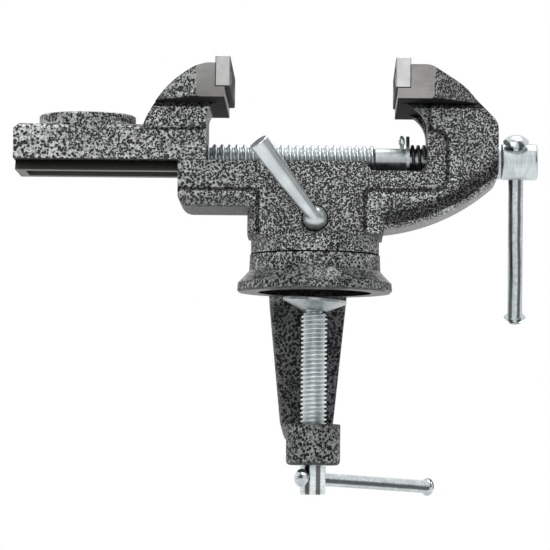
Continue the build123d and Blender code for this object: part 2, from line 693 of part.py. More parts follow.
def lock_hole():
    """Cross hole for the lock stud, counterbored in the front of the column."""
    outside = BAND_PROUD + OVERSHOOT
    hole = rod_out(LOCK_STUD_RADIUS + RUN_CLEARANCE, -PANEL_HALF_WIDTH, outside)
    counterbore = rod_out(LOCK_COUNTERBORE_RADIUS, -LOCK_COUNTERBORE_DEPTH, outside)
    return lock_place() * (hole + counterbore)


def column_corners():
    """What the rounded ends of the column lose below the sleeve."""
    low, high = BARREL_TOP - SEAT_CLEARANCE, SLEEVE_BOTTOM
    rounding = RectangleRounded(
        2 * COLUMN_HALF_LENGTH, 2 * BAND_HALF_WIDTH, COLUMN_CORNER
    )
    column = Pos(0, 0, low) * extrude(rounding, amount=high - low)
    left = block((-FAR, -COLUMN_HALF_LENGTH + COLUMN_CORNER), (-FAR, FAR), (low, high))
    return left - column


def body_casting():
    casting = side_slab(below_head(), PANEL_HALF_WIDTH) - belly_offcut() + raised_band()
    casting -= column_corners()
    casting += jaw_head(body_side(), FIXED_HEAD_FRONT, FIXED_FLAT_LENGTH, 1)
    casting += rod_z(BARREL_RADIUS, BARREL_BOTTOM, BARREL_TOP)
    casting -= rod_z(
        SPIGOT_RADIUS + RUN_CLEARANCE, BARREL_BOTTOM - OVERSHOOT, SPIGOT_TOP + SPIGOT_TOP_ROOM
    )
    casting -= slideway() + spring_pocket()
    casting -= lock_hole()
    casting -= rod_x(SHAFT_RADIUS + RUN_CLEARANCE, ARM_WALL - OVERSHOOT, ARM_OUTER + OVERSHOOT)
    return casting - jaw_seat(FIXED_FACE, FIXED_SEAT, 1)


# --- jaw plates -----------------------------------------------------------------
def jaw_plate(face, direction):
    """Hardened plate with two countersunk holes in its gripping face."""
    half = JAW_WIDTH / 2
    back = face + direction * PLATE_THICKNESS
    plate = block(sorted((face, back)), (-half, half), (PLATE_BOTTOM, PLATE_TOP))
    plate = chamfer(plate.edges(), PLATE_BEVEL)
    ends = sorted((face - direction, back + direction))
    for y, z in plate_screw_spots():
        hole = rod_x(PLATE_SCREW_RADIUS + SEAT_CLEARANCE, *ends, height=z)
        plate -= Pos(0, y, 0) * (hole + screw_head(face, direction, z, SEAT_CLEARANCE))
    return plate


def screw_head(face, direction, height, grow=0.0):
    """Countersunk head under the gripping face, or with grow the space it takes."""
    wide = PLATE_SCREW_HEAD_RADIUS + grow
    slim = PLATE_SCREW_RADIUS + grow
    flat = -OVERSHOOT if grow else PLATE_SCREW_SUNK
    rim = PLATE_SCREW_SUNK + PLATE_SCREW_RIM
    root = rim + wide - slim
    outline = polygon((flat, 0), (flat, wide), (rim, wide), (root, slim), (root, 0))
    head = revolve(outline, Axis.X)
    if direction < 0:
        head = mirror(head, Plane.YZ)
    return Pos(face, 0, height) * head


def jaw_screw(face, direction, spot):
    y, z = spot
    start = face + direction * (PLATE_SCREW_SUNK + PLATE_SCREW_RIM)
    end = face + direction * PLATE_SCREW_DEPTH
    shank = rod_x(PLATE_SCREW_RADIUS, *sorted((start, end)), height=z)
    return Pos(0, y, 0) * (shank + screw_head(face, direction, z))


# --- moving jaw -----------------------------------------------------------------
def moving_side():
    """Side view of the neck and head of the moving jaw."""
    foot = (NECK_BACK, BAR_TOP)
    crest = (HEAD_CREST, HEAD_TOP)
    curve = (NECK_CURVE_PLACE, HEAD_TOP - NECK_CURVE_DROP)
    inside = (BAR_BOTTOM + BAR_TOP) / 2
    side = make_face(
        [
            ThreePointArc(crest, curve, foot),
            Polyline(
                foot, (NECK_BACK, inside), (NECK_FRONT, inside),
                (NECK_FRONT, JAW_UNDERSIDE), (MOVING_HEAD_FRONT, JAW_UNDERSIDE),
                (MOVING_HEAD_FRONT, HEAD_TOP), crest,
            ),
        ]
    )
    return fillet(near(side, (NECK_FRONT, JAW_UNDERSIDE)), NECK_FILLET)


def slide_bar():
    """Bar behind the jaw, with its dovetail rail and the nut's keel under it."""
    section = rounded_outline(
        [
            (BAR_HALF_WIDTH, BAR_BOTTOM), (BAR_HALF_WIDTH, BAR_TOP),
            (-BAR_HALF_WIDTH, BAR_TOP), (-BAR_HALF_WIDTH, BAR_BOTTOM),
        ],
        [0, BAR_EDGE_ROUND, BAR_EDGE_ROUND, 0],
    )
    bar = end_bar(section, BAR_END, NECK_FRONT) - bar_end_bevel()
    rail = dovetail(RAIL_NECK_HALF_WIDTH, RAIL_HALF_WIDTH, RAIL_BOTTOM, BAR_BOTTOM)
    bar += end_bar(rail, BAR_END + RAIL_SETBACK, NECK_FRONT)
    nut = block(
        (NUT_START, NECK_FRONT), (-NUT_HALF_WIDTH, NUT_HALF_WIDTH), (NUT_BOTTOM, SCREW_HEIGHT)
    )
    return bar + nut


def bar_end_bevel():
    """The wedge taken off the top edge at the bar's far end."""
    reach = BAR_END_CHAMFER + OVERSHOOT
    wedge = polygon(
        (BAR_END - OVERSHOOT, BAR_TOP - reach), (BAR_END + reach, BAR_TOP + OVERSHOOT),
        (BAR_END - OVERSHOOT, BAR_TOP + OVERSHOOT),
    )
    return side_slab(wedge, BAR_HALF_WIDTH + OVERSHOOT)


def screw_channel():
    """Room for the lead screw behind the nut, open to below along the rail."""
    below = RAIL_BOTTOM - OVERSHOOT
    along = (CHANNEL_START, NUT_START)
    channel = rod_x(CHANNEL_RADIUS, *along)
    channel += block(along, (-CHANNEL_RADIUS, CHANNEL_RADIUS), (below, SCREW_HEIGHT))
    return channel + block(
        along, (-RAIL_OPENING_HALF_WIDTH, RAIL_OPENING_HALF_WIDTH), (below, RAIL_OPENING_TOP)
    )


def anvil():
    """Round anvil face, with a hollow curve where it stands on the bar's flat top."""
    pad = rod_z(ANVIL_RADIUS, ANVIL_ROOT, ANVIL_TOP)
    pad = fillet(pad.edges().group_by(Axis.Z)[-1], ANVIL_EDGE)
    foot = Pos(ANVIL_RADIUS, BAR_TOP) * (
        Rectangle(ANVIL_FOOT_ROUND, ANVIL_FOOT_ROUND, align=Align.MIN)
        - Pos(ANVIL_FOOT_ROUND, ANVIL_FOOT_ROUND) * Circle(ANVIL_FOOT_ROUND)
    )
    inside = Pos(ANVIL_RADIUS - OVERSHOOT, ANVIL_ROOT) * Rectangle(
        OVERSHOOT, BAR_TOP + ANVIL_FOOT_ROUND - ANVIL_ROOT, align=Align.MIN
    )
    skirt = revolve(Plane.XZ * (foot + inside), Axis.Z)
    flat = BAR_HALF_WIDTH - BAR_EDGE_ROUND
    skirt &= block((-FAR, FAR), (-flat, flat), (0, FAR))
    return Pos(ANVIL_CENTRE, 0, 0) * (pad + skirt)


def moving_jaw_casting():
    side = moving_side()
    neck = side_slab(side, NECK_HALF_WIDTH) - above_underside()
    casting = slide_bar() + neck + anvil()
    casting += jaw_head(side, MOVING_HEAD_FRONT, MOVING_FLAT_LENGTH, -1)
    casting -= screw_channel()
    casting -= rod_x(SCREW_RADIUS + RUN_CLEARANCE, NUT_START - OVERSHOOT, NECK_FRONT + OVERSHOOT)
    return casting - jaw_seat(MOVING_FACE, MOVING_SEAT, -1)


# --- lead screw -----------------------------------------------------------------
def lead_bar_place():
    """Where the lead handle crosses the screw's head; its +X points down the bar."""
    lean = Rot(LEAD_BAR_LEAN, 0, 0) * Rot(0, 90 - LEAD_BAR_TILT, 0)
    return Pos(LEAD_BAR_PLACE, 0, SCREW_HEIGHT) * lean


def lead_screw():
    thread = rod_x(SCREW_RADIUS, SCREW_TIP, SCREW_THREAD_END)
    thread = chamfer(thread.edges().filter_by(GeomType.CIRCLE), SCREW_END_BEVEL)
    shaft = rod_x(SHAFT_RADIUS, SCREW_THREAD_END - OVERSHOOT, HEAD_START + OVERSHOOT)
    head = rod_x(HEAD_RADIUS, HEAD_START, HEAD_START + HEAD_LENGTH)
    head = fillet(head.edges().filter_by(GeomType.CIRCLE), HEAD_ROUND)
    bar_hole = Cylinder(LEAD_BAR_RADIUS + RUN_CLEARANCE, 4 * HEAD_RADIUS, rotation=(0, 90, 0))
    pin_hole = Pos(PIN_CENTRE, 0, SCREW_HEIGHT) * Cylinder(
        PIN_OFFSET + PIN_WIRE_RADIUS + RUN_CLEARANCE, 4 * SHAFT_RADIUS
    )
    return thread + shaft + head - lead_bar_place() * bar_hole - pin_hole


def shaft_ring(outer, start, thickness):
    """A flat ring on the lead screw's shaft."""
    bore = rod_x(SHAFT_RADIUS + RUN_CLEARANCE, start - OVERSHOOT, start + thickness + OVERSHOOT)
    return rod_x(outer, start, start + thickness) - bore


def spring_height(turn):
    """Distance along the spring after a number of turns: close, open, close."""
    open_turns = SPRING_TURNS - 2 * SPRING_END_TURNS
    span = SPRING_LENGTH - 2 * (SPRING_WIRE_RADIUS + REST_GAP)
    open_pitch = (span - 2 * SPRING_END_TURNS * SPRING_END_PITCH) / open_turns
    opened = min(max(turn - SPRING_END_TURNS, 0), open_turns)
    return SPRING_END_PITCH * (turn - opened) + open_pitch * opened


def spring_point(turn):
    angle = 2 * math.pi * turn
    start = SPRING_SEAT + SPRING_WIRE_RADIUS + REST_GAP
    return Vector(
        start + spring_height(turn),
        SPRING_RADIUS * math.cos(angle),
        SCREW_HEIGHT + SPRING_RADIUS * math.sin(angle),
    )


def spring_tangent(turn):
    step = 1 / 20
    angle = 2 * math.pi * turn
    climb = (spring_height(turn + step) - spring_height(turn - step)) / (2 * step)
    around = 2 * math.pi * SPRING_RADIUS
    return Vector(climb, -around * math.sin(angle), around * math.cos(angle)).normalized()


def biarc(start, start_way, end, end_way):
    """Two arcs that meet smoothly and leave each end along its given direction."""
    chord, ways = end - start, start_way + end_way
    a, b, c = ways.dot(ways) - 4, -2 * chord.dot(ways), chord.dot(chord)
    reach = (-b - math.sqrt(b * b - 4 * a * c)) / (2 * a)
    middle = (start + start_way * reach + end - end_way * reach) / 2
    middle_way = (end - end_way * reach) - (start + start_way * reach)
    first = TangentArc(start, middle, tangent=start_way)
    return [first, TangentArc(middle, end, tangent=middle_way)]


def lead_spring():
    """Compression spring: one unbroken wire with closed ends."""
    arcs = []
    for quarter in range(round(SPRING_TURNS * 4)):
        now, then = quarter / 4, (quarter + 1) / 4
        arcs += biarc(
            spring_point(now), spring_tangent(now), spring_point(then), spring_tangent(then)
        )
    section = Plane(spring_point(0), z_dir=spring_tangent(0)) * Circle(SPRING_WIRE_RADIUS)
    print(f"lead_spring: least gap to itself {spring_gap():.2f} mm")
    return sweep(section, path=Wire(arcs))


def spring_gap(samples=60):
    """Least gap between the wire and itself, half a turn or more away."""
    count = round(SPRING_TURNS * samples) + 1
    line = [spring_point(index / samples) for index in range(count)]
    least = min(
        (line[i] - line[j]).length
        for i in range(count)
        for j in range(i + samples // 2, count)
    )
    return least - 2 * SPRING_WIRE_RADIUS


def split_pin():
    """Split pin: a wire eye on top, two legs through the shaft, tails spread."""
    cosine = (PIN_OFFSET + PIN_EYE_NECK_RADIUS) / (PIN_EYE_RADIUS + PIN_EYE_NECK_RADIUS)
    flare = math.degrees(math.acos(cosine))
    tail_end = (-PIN_OFFSET - PIN_TAIL, -PIN_LEG - PIN_TAIL)
    tail = JernArc(tail_end, (1, 0), PIN_TAIL, 90)
    leg = Line(tail @ 1, (-PIN_OFFSET, PIN_SHOULDER))
    neck = JernArc(leg @ 1, (0, 1), PIN_EYE_NECK_RADIUS, flare)
    eye = JernArc(neck @ 1, neck % 1, PIN_EYE_RADIUS, -180 - 2 * flare)
    neck_back = JernArc(eye @ 1, eye % 1, PIN_EYE_NECK_RADIUS, flare)
    leg_back = Line(neck_back @ 1, (PIN_OFFSET, -PIN_LEG))
    tail_back = JernArc(leg_back @ 1, (0, -1), PIN_TAIL, 90)
    path = Wire([tail, leg, neck, eye, neck_back, leg_back, tail_back])
    section = Plane(tail @ 0, z_dir=tail % 0) * Circle(PIN_WIRE_RADIUS)
    pin = Rot(90, 0, 0) * sweep(section, path=path)
    return Pos(PIN_CENTRE, 0, SCREW_HEIGHT) * Rot(0, 0, PIN_TURN) * pin


def lead_handle_bar():
    bar = headed_bar(
        LEAD_BAR_RADIUS, LEAD_BAR_HEAD_LENGTH,
        -(HEAD_RADIUS + REST_GAP), LEAD_BAR_REACH,
        LEAD_BAR_HEAD_RADIUS, LEAD_BAR_END_RADIUS,
    )
    return lead_bar_place() * bar


# --- swivel lock ----------------------------------------------------------------
def lock_place():
    """On the lock screw's axis in the panel; +Z points out to the front."""
    return Pos(0, -PANEL_HALF_WIDTH, LOCK_HEIGHT) * Rot(90, 0, 0)


def rod_out(radius, inner, outer):
    """A rod on the lock's axis between two distances out from the panel."""
    return Pos(0, 0, (inner + outer) / 2) * Cylinder(radius, outer - inner)


def lock_stud():
    spigot = SPIGOT_RADIUS - PANEL_HALF_WIDTH
    tip_end = spigot - SPIGOT_GROOVE_DEPTH + REST_GAP
    shank_end = spigot + LOCK_SHANK_SHORT
    top = LOCK_SOCKET_DEPTH - LOCK_COUNTERBORE_DEPTH
    shank = rod_out(LOCK_STUD_RADIUS, shank_end, top)
    shank = chamfer(shank.edges().group_by(Axis.Z)[0], LOCK_SHANK_BEVEL)
    tip = rod_out(LOCK_TIP_RADIUS, tip_end, shank_end + OVERSHOOT)
    return lock_place() * (shank + tip)


def lock_lever():
    """Die-cast lever: a dome over the stud, and a tapered round arm rising from it."""
    floor = REST_GAP - LOCK_COUNTERBORE_DEPTH
    cap_radius = (LOCK_DOME_RADIUS**2 + LOCK_DOME_HEIGHT**2) / (2 * LOCK_DOME_HEIGHT)
    cap = Pos(0, 0, LOCK_DOME_RIM + LOCK_DOME_HEIGHT - cap_radius) * Sphere(cap_radius)
    dome = rod_out(LOCK_DOME_RADIUS, floor, LOCK_DOME_RIM + 2 * LOCK_DOME_HEIGHT)
    dome &= cap + rod_out(LOCK_DOME_RADIUS, floor, LOCK_DOME_RIM)
    arm = Cone(LEVER_ROOT_RADIUS, LEVER_END_RADIUS, LEVER_LENGTH)
    arm = Pos(0, 0, LEVER_LENGTH / 2) * fillet(
        arm.edges().group_by(Axis.Z)[-1], LEVER_END_ROUND
    )
    arm = Rot(0, 0, LEVER_SWING) * Pos(0, 0, LOCK_DOME_HEIGHT - LEVER_SUNK) * Rot(
        -90 + LEVER_LEAN, 0, 0
    ) * arm
    socket = rod_out(
        LOCK_STUD_RADIUS + SEAT_CLEARANCE,
        floor - OVERSHOOT,
        LOCK_SOCKET_DEPTH - LOCK_COUNTERBORE_DEPTH + SEAT_CLEARANCE,
    )
    return lock_place() * (dome + arm - socket)


# --- the pieces -----------------------------------------------------------------
def pieces():
    front, back = plate_screw_spots()
    return {
        "base_casting": base_casting(),
        "clamp_screw": clamp_screw(),
        "clamp_pad": clamp_pad(),
        "clamp_handle_bar": clamp_handle_bar(),
        "body_casting": body_casting(),
        "fixed_jaw_plate": jaw_plate(FIXED_FACE, 1),
        "fixed_jaw_screw_front": jaw_screw(FIXED_FACE, 1, front),
        "fixed_jaw_screw_back": jaw_screw(FIXED_FACE, 1, back),
        "moving_jaw_casting": moving_jaw_casting(),
        "moving_jaw_plate": jaw_plate(MOVING_FACE, -1),
        "moving_jaw_screw_front": jaw_screw(MOVING_FACE, -1, front),
        "moving_jaw_screw_back": jaw_screw(MOVING_FACE, -1, back),
        "lead_screw": lead_screw(),
        "thrust_collar": shaft_ring(COLLAR_RADIUS, ARM_OUTER + REST_GAP / 2, COLLAR_THICKNESS),
        "spring_seat_washer": shaft_ring(WASHER_RADIUS, WASHER_START, WASHER_THICKNESS),
        "lead_spring": lead_spring(),
        "split_pin": split_pin(),
        "lead_handle_bar": lead_handle_bar(),
        "lock_stud": lock_stud(),
        "lock_lever": lock_lever(),
    }


os.makedirs("parts", exist_ok=True)
for name, shape in pieces().items():
    export_step(shape, f"parts/{name}.step")
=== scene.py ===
import math

import bmesh
import bpy
from mathutils import Euler, Matrix, Vector


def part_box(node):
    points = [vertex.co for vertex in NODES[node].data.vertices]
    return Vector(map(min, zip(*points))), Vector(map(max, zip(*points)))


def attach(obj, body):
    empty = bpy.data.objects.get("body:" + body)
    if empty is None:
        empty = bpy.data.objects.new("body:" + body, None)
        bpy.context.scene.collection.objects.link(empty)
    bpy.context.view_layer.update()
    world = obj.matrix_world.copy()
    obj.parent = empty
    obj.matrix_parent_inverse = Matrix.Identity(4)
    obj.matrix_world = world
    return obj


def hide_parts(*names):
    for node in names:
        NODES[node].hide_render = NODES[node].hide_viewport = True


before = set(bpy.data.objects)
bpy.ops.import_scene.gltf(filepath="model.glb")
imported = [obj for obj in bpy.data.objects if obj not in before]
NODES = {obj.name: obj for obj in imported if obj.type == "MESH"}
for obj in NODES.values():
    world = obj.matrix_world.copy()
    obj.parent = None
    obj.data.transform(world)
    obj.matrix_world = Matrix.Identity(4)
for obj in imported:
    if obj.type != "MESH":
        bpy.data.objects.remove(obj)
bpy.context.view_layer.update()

# The looks of a clamp-on bench vise. Metres, in the frame of the solids:
# +X from the moving jaw to the fixed jaw, +Y to the back, +Z up.

MM = 0.001

# --- screws and bars ----------------------------------------------------------------
LEAD_PITCH = 3.0 * MM
LEAD_CREST = 6.1 * MM
LEAD_ROOT = 4.75 * MM
LEAD_HEIGHT = 53.5 * MM
LEAD_THREAD_END = 24.0 * MM
CLAMP_PITCH = 1.75 * MM
CLAMP_CREST = 5.2 * MM
CLAMP_ROOT = 4.2 * MM
CLAMP_THREAD_TOP = -8.3 * MM
CLAMP_THREAD_BOTTOM = -69.0 * MM
THREAD_RISE = 0.30          # share of a pitch
THREAD_FLAT = 0.22          # share of a pitch
THREAD_BEVEL = 0.9 * MM
THREAD_RINGS = 12           # in one pitch
THREAD_SIDES = 56
WELD = 0.001 * MM
CUT_OVERLAP = 0.01 * MM     # how far the kept shank reaches into the new thread
SMOOTH_ANGLE = 32.0         # degrees
LEAD_BAR_RADIUS = 3.3 * MM
CLAMP_BAR_RADIUS = 2.8 * MM
STEM_RADIUS = 3.3 * MM
KNOB_LENGTH = 4.0 * MM

# --- jaws and slide -----------------------------------------------------------------
JAW_HALF_WIDTH = 37.5 * MM
JAW_UNDERSIDE = 74.5 * MM
JAW_FLATS = (-47.2 * MM, 46.6 * MM)     # along x, over both heads
JAW_SEATS = (-42.3 * MM, 37.6 * MM)     # along x, behind the jaw plates
FLAT_CORNER = 1.6 * MM
FLAT_INSET = 0.15 * MM      # where the bare metal starts to give way to paint
SIDE_DEPTH = 0.12 * MM      # how far in a face still counts as a head's side
SIDE_LIGHT_TOP = 88.0 * MM
HEAD_SHADE_SPAN = (1.6 * MM, 0.25 * MM)      # painted shade, below and above the head's underside
KNURL_PITCH = 2.2 * MM
ANVIL_EDGE = -72.5 * MM
ANVIL_TOP = 70.0 * MM
BAR_TOP = 65.6 * MM
NECK_SHADE_SPAN = (2.2 * MM, 1.5 * MM)       # painted shade, below the bar's top
NECK_SPAN = (-66.0 * MM, -46.0 * MM)    # along x
RAIL_TOP = 51.6 * MM
RAIL_BOTTOM = 47.3 * MM
RAIL_CORNER = 46.2 * MM
RAIL_INSET = 0.1 * MM       # from the rail's top to where its oil starts
RAIL_FADE = (0.3 * MM, 0.4 * MM)        # below the rail's lower edge and below its top
SLIDEWAY_HALF_WIDTH = 15.4 * MM
SLIDEWAY_TOP = 51.2 * MM
POCKET_END = 44.0 * MM
POCKET_FLOOR = 40.0 * MM

# --- body and base ------------------------------------------------------------------
PANEL_HALF_WIDTH = 19.5 * MM
CASTING_HALF_WIDTH = 22.0 * MM
PANEL_ON_COLUMN = (-22.6 * MM, 19.5 * MM)   # along x
PANEL_ON_SLEEVE = (-165.0 * MM, 45.0 * MM)  # along x
PANEL_STEP = 40.0 * MM      # lower edge of the sleeve's panel
PANEL_IN_ARM = (52.1 * MM, 63.6 * MM)       # right edge and top
PANEL_CORNER = 2.5 * MM
PANEL_FILLET = 3.0 * MM     # between the column's panel and the sleeve's
ARM_PANEL_CORNER = 5.0 * MM
BOX_REACH = 60.0 * MM       # from a box's edge that shows to one that doesn't
BELLY_CENTRE = (19.2 * MM, 102.5 * MM)      # x and z
BELLY_RADIUS = 78.5 * MM
BELLY_START = 27.0 * MM
BELLY_TOP = 50.0 * MM
BELLY_HALF_WIDTH = 15.2 * MM    # of its flat underside
BELLY_SHADE = 9.5 * MM      # how far the dark reaches in from the edge
BELLY_UNSHADED_LINE = (1.5 * MM, 0.2 * MM)   # the line left without painted shade, in from the edge
BAND_SHADE_SPAN = (-0.3 * MM, 0.7 * MM)  # painted shade, out from the panel's edge
BAND_BRIGHT_STRIP = (1.7 * MM, 3.2 * MM)  # out from the panel's edge
BAND_FOOT = 6.5 * MM        # above the joint
LOCK_FRONT = (-15.0 * MM, -14.0 * MM)   # along y
LOCK_RING_WIDTH = 0.3 * MM
JOINT_SHADE_SPAN = (0.3 * MM, 0.15 * MM)     # painted shade, below and above the joint
SLEEVE_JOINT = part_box("body_casting")[0][2]
FLANGE_RADIUS = 31.2 * MM
HOLLOW_RADIUS = 22.7 * MM
HOLLOW_TOP = 10.8 * MM
FACE_DEPTH = 0.05 * MM      # how far from the flange's underside a face still counts as it

# --- where one look turns into another ----------------------------------------------
EDGE_SOFT = 0.2 * MM        # softness of most edges between two looks
# Low and high ends of the change, in the part of a normal that lies along an axis.
UNDERSIDE = (-0.75, -0.25)
FACING = (0.75, 0.95)
GRIPPING = (0.80, 0.95)
# Low and high ends of the change, along x or z.
BAR_TO_NECK_TONE = (-125.0 * MM, -80.0 * MM)
BAR_TO_NECK_CELLS = (-112.0 * MM, -80.0 * MM)
NECK_START = (-68.0 * MM, -62.0 * MM)
NECK_FOOT = (66.0 * MM, 67.0 * MM)
SLEEVE_TO_COLUMN_CELLS = (-48.0 * MM, -26.0 * MM)
SLEEVE_TO_COLUMN_TONE = (-26.0 * MM, -22.0 * MM)
SLEEVE_LOW = (36.0 * MM, 40.0 * MM)
FLANGE_TO_BARREL = (7.0 * MM, 11.0 * MM)
ARM_TO_FLANGE = (-4.0 * MM, 0.0)
BOSS_TO_ARM = (-54.0 * MM, -52.0 * MM)

# --- finishes -----------------------------------------------------------------------
FINE_CELL = 0.76 * MM       # spacing of the hammered cells
COARSE_CELL = 1.35 * MM     # where the paint lies thick
FINE_SIZES = (0.46, 0.60)   # smallest and largest cell radius, as shares of the spacing
COARSE_SIZES = (0.41, 0.52)
CELL_RANDOMNESS = 0.9
WARP_REACH = 0.5            # share of the spacing
WARP_SCALE = 0.8            # repeats in one cell's spacing
SIZE_SCALE = 0.4            # repeats in one cell's spacing
FLECK_SCALE = 1.1           # repeats in one fine cell's spacing
CELL_EDGE = (-0.04, 0.08)   # from dark cell to silver net, as shares of the spacing
PATCH_EDGE = 0.08           # softness between coarse and fine patches
HAMMER_DEPTH = 0.10 * MM
UPWARD_DIMMING = 0.5                 # brightness of the silver on faces that look up, painted dimmer against their highlights
PLAIN_COVER = 0.76          # how much the plain paint hides of the hammered one
PAINT_METAL = 0.55
PAINT_ROUGH = (0.30, 0.38)  # of the dark cells and of the silver
PAINT_SPECULAR = 0.4
PAINT_COAT = 0.12
DRY_ROUGH = 0.6
DRY_GLOSS = 0.45
BARE_IRON = (1.02, 1.0, 0.96)
OILED_IRON = (1.0, 0.98, 0.88)
# Brightness of the paint's silver in each region.
# painted shade on the jaw heads' tapers
HEAD_TONE = 0.66
# painted light, brightest at the bar's far end
BAR_TONES = (0.96, 0.86)    # from the far end to the neck
# painted light on the neck below the head
NECK_TONE = 1.25
BAND_TONES = (0.85, 1.13)   # of the raised band and of the strip beside its inner edge
SLEEVE_LOW_TONE = 0.62
ARM_TONES = (0.72, 0.55)    # of the clamp arm and of the flange
BARREL_TONE = 0.80
BOSS_TONE = 0.78
# Brightness of bare faces, and strength of painted shade.
SIDE_LIGHTS = (0.23, 0.38)  # low and high on the moving jaw's side, darker low down as painted shade
RAIL_LIGHTS = (0.085, 0.012)    # from the rail's lower edge up to the bar
RAIL_CORNER_LIGHT = 0.4     # share of the rail's light
BELLY_SHADE_DEPTHS = (0.55, 0.80)  # painted shade under the curved arm and on its sides
BOSS_SHADE = 0.55           # share of the clamp arm's shade
ROOT_LIGHT = 0.62           # share of a thread crest's light
# How much of the paint has large cells.
BAR_CELLS = (1.0, 0.3)      # from the far end to the neck
BODY_CELLS = (0.85, 0.12)   # from the sleeve to the column
BASE_CELLS = (0.8, 0.35)    # from the clamp arm to the flange
NOISE_SPREAD = (0.3, 0.7)   # most of a noise's values lie between these
# Scales of the noises, as repeats in a metre.
PATCHES = 170.0
CLOUDS = 70.0
BLOTCHES = 120.0
MOTTLE = 170.0
PLATE_CLOUDS = 140.0
BLACK_CLOUDS = 400.0
LEVER_CLOUDS = 90.0
LEVER_GRAIN = 900.0
WANDER = 60.0
# Stretch of the machining marks along x, y and z.
MILLED = (160.0, 900.0, 4200.0)
SMEARED = (60.0, 1500.0, 1500.0)
GROUND = (2600.0, 300.0, 300.0)
TURNED_ON_X = (2500.0, 200.0, 200.0)
TURNED_ON_Z = (200.0, 200.0, 2500.0)
FACED = (500.0, 500.0, 2500.0)
DRAWN = (900.0, 900.0, 900.0)
# Dark reflections painted on the bars, at places across them from -1 to 1.
LEAD_REFLECTION_BANDS = ((-0.72, -0.45), (0.32, 0.55))
CLAMP_REFLECTION_BANDS = ((-0.42, -0.05),)
REFLECTION_BAND_SOFT = 0.16
REFLECTION_BAND_STRENGTH = 0.86
REFLECTION_BAND_WANDER = 0.25
STEM_REFLECTION_BAND = (0.45, 0.85)  # painted dark reflections on both sides of the clamp screw's stem, from 0 to 1

# --- the photograph's camera, and the studio ----------------------------------------
PHOTO_SIZE = 550            # pixels
PHOTO_FOCAL = 3653          # pixels
SENSOR = 36.0               # millimetres
CAMERA_PLACE = (0.0074, -1.4625, -0.0952)
CAMERA_AIM = (-0.01596, 1.0, 0.06995)
CAMERA_ROLL = 0.6           # degrees
CLIP_END = 50.0
FLOOR_HEIGHT = -0.17
FLOOR_SIZE = 12.0
FLOOR_TONE = 0.80
LIGHT_AIM = (0.0, 0.0, 0.03)
WINDOW = (-18.0, 14.0)      # degrees round the vise, from the camera
WINDOW_SOFT = 9.0           # degrees
WINDOW_FOOT = (-0.12, -0.02)    # heights on the unit sphere
WINDOW_LOW = 0.25           # share of its light that is left below its foot
# The dark fades out between these two angles or heights.
DARK_BEHIND = (58.0, 86.0)  # degrees from the camera's direction
DARK_BESIDE = (88.0, 104.0)     # degrees round the vise, from the camera
HORIZON = (0.15, 0.45)      # heights on the unit sphere
DARKEST = 0.10


# --- colours ------------------------------------------------------------------------
def grey(value, tint=(1.0, 1.0, 1.0)):
    return (value * tint[0], value * tint[1], value * tint[2], 1.0)


PAINT_DARK = grey(0.006, (0.94, 1.0, 1.0))
PAINT_SILVER = grey(0.86, (0.97, 1.0, 0.99))
# Plain paint on undersides, dark also as painted shade there.
PAINT_PLAIN = grey(0.075, (0.97, 1.0, 1.0))
# Colour of the shade painted into hollows, corners and seams.
PAINTED_SHADE_COLOUR = grey(0.004)
# Colour of the dark reflections painted on the bars.
REFLECTION_DARK = grey(0.03, (0.9, 1.0, 0.98))
# Colour of the shade painted in thread roots and of the reflections painted on the clamp screw's
# stem.
THREAD_DARK = grey(0.16, (0.98, 1.0, 0.97))
# Shade painted on the jaw plates' gripping faces and undersides, darkest in the grooves.
GROOVE_DARK = grey(0.012)
GROOVE_LIGHT = grey(0.13, (1.0, 0.98, 0.88))
LEVER_DULL = grey(0.66, (0.91, 0.985, 1.0))
LEVER_BRIGHT = grey(0.88, (0.93, 0.99, 1.0))
ZINC_DULL_TINT = (0.90, 0.985, 1.0)
ZINC_BRIGHT_TINT = (0.92, 0.99, 1.0)
PLATE_TINT = (1.0, 0.99, 1.0)
BLACK_TINT = (1.0, 0.98, 0.95)


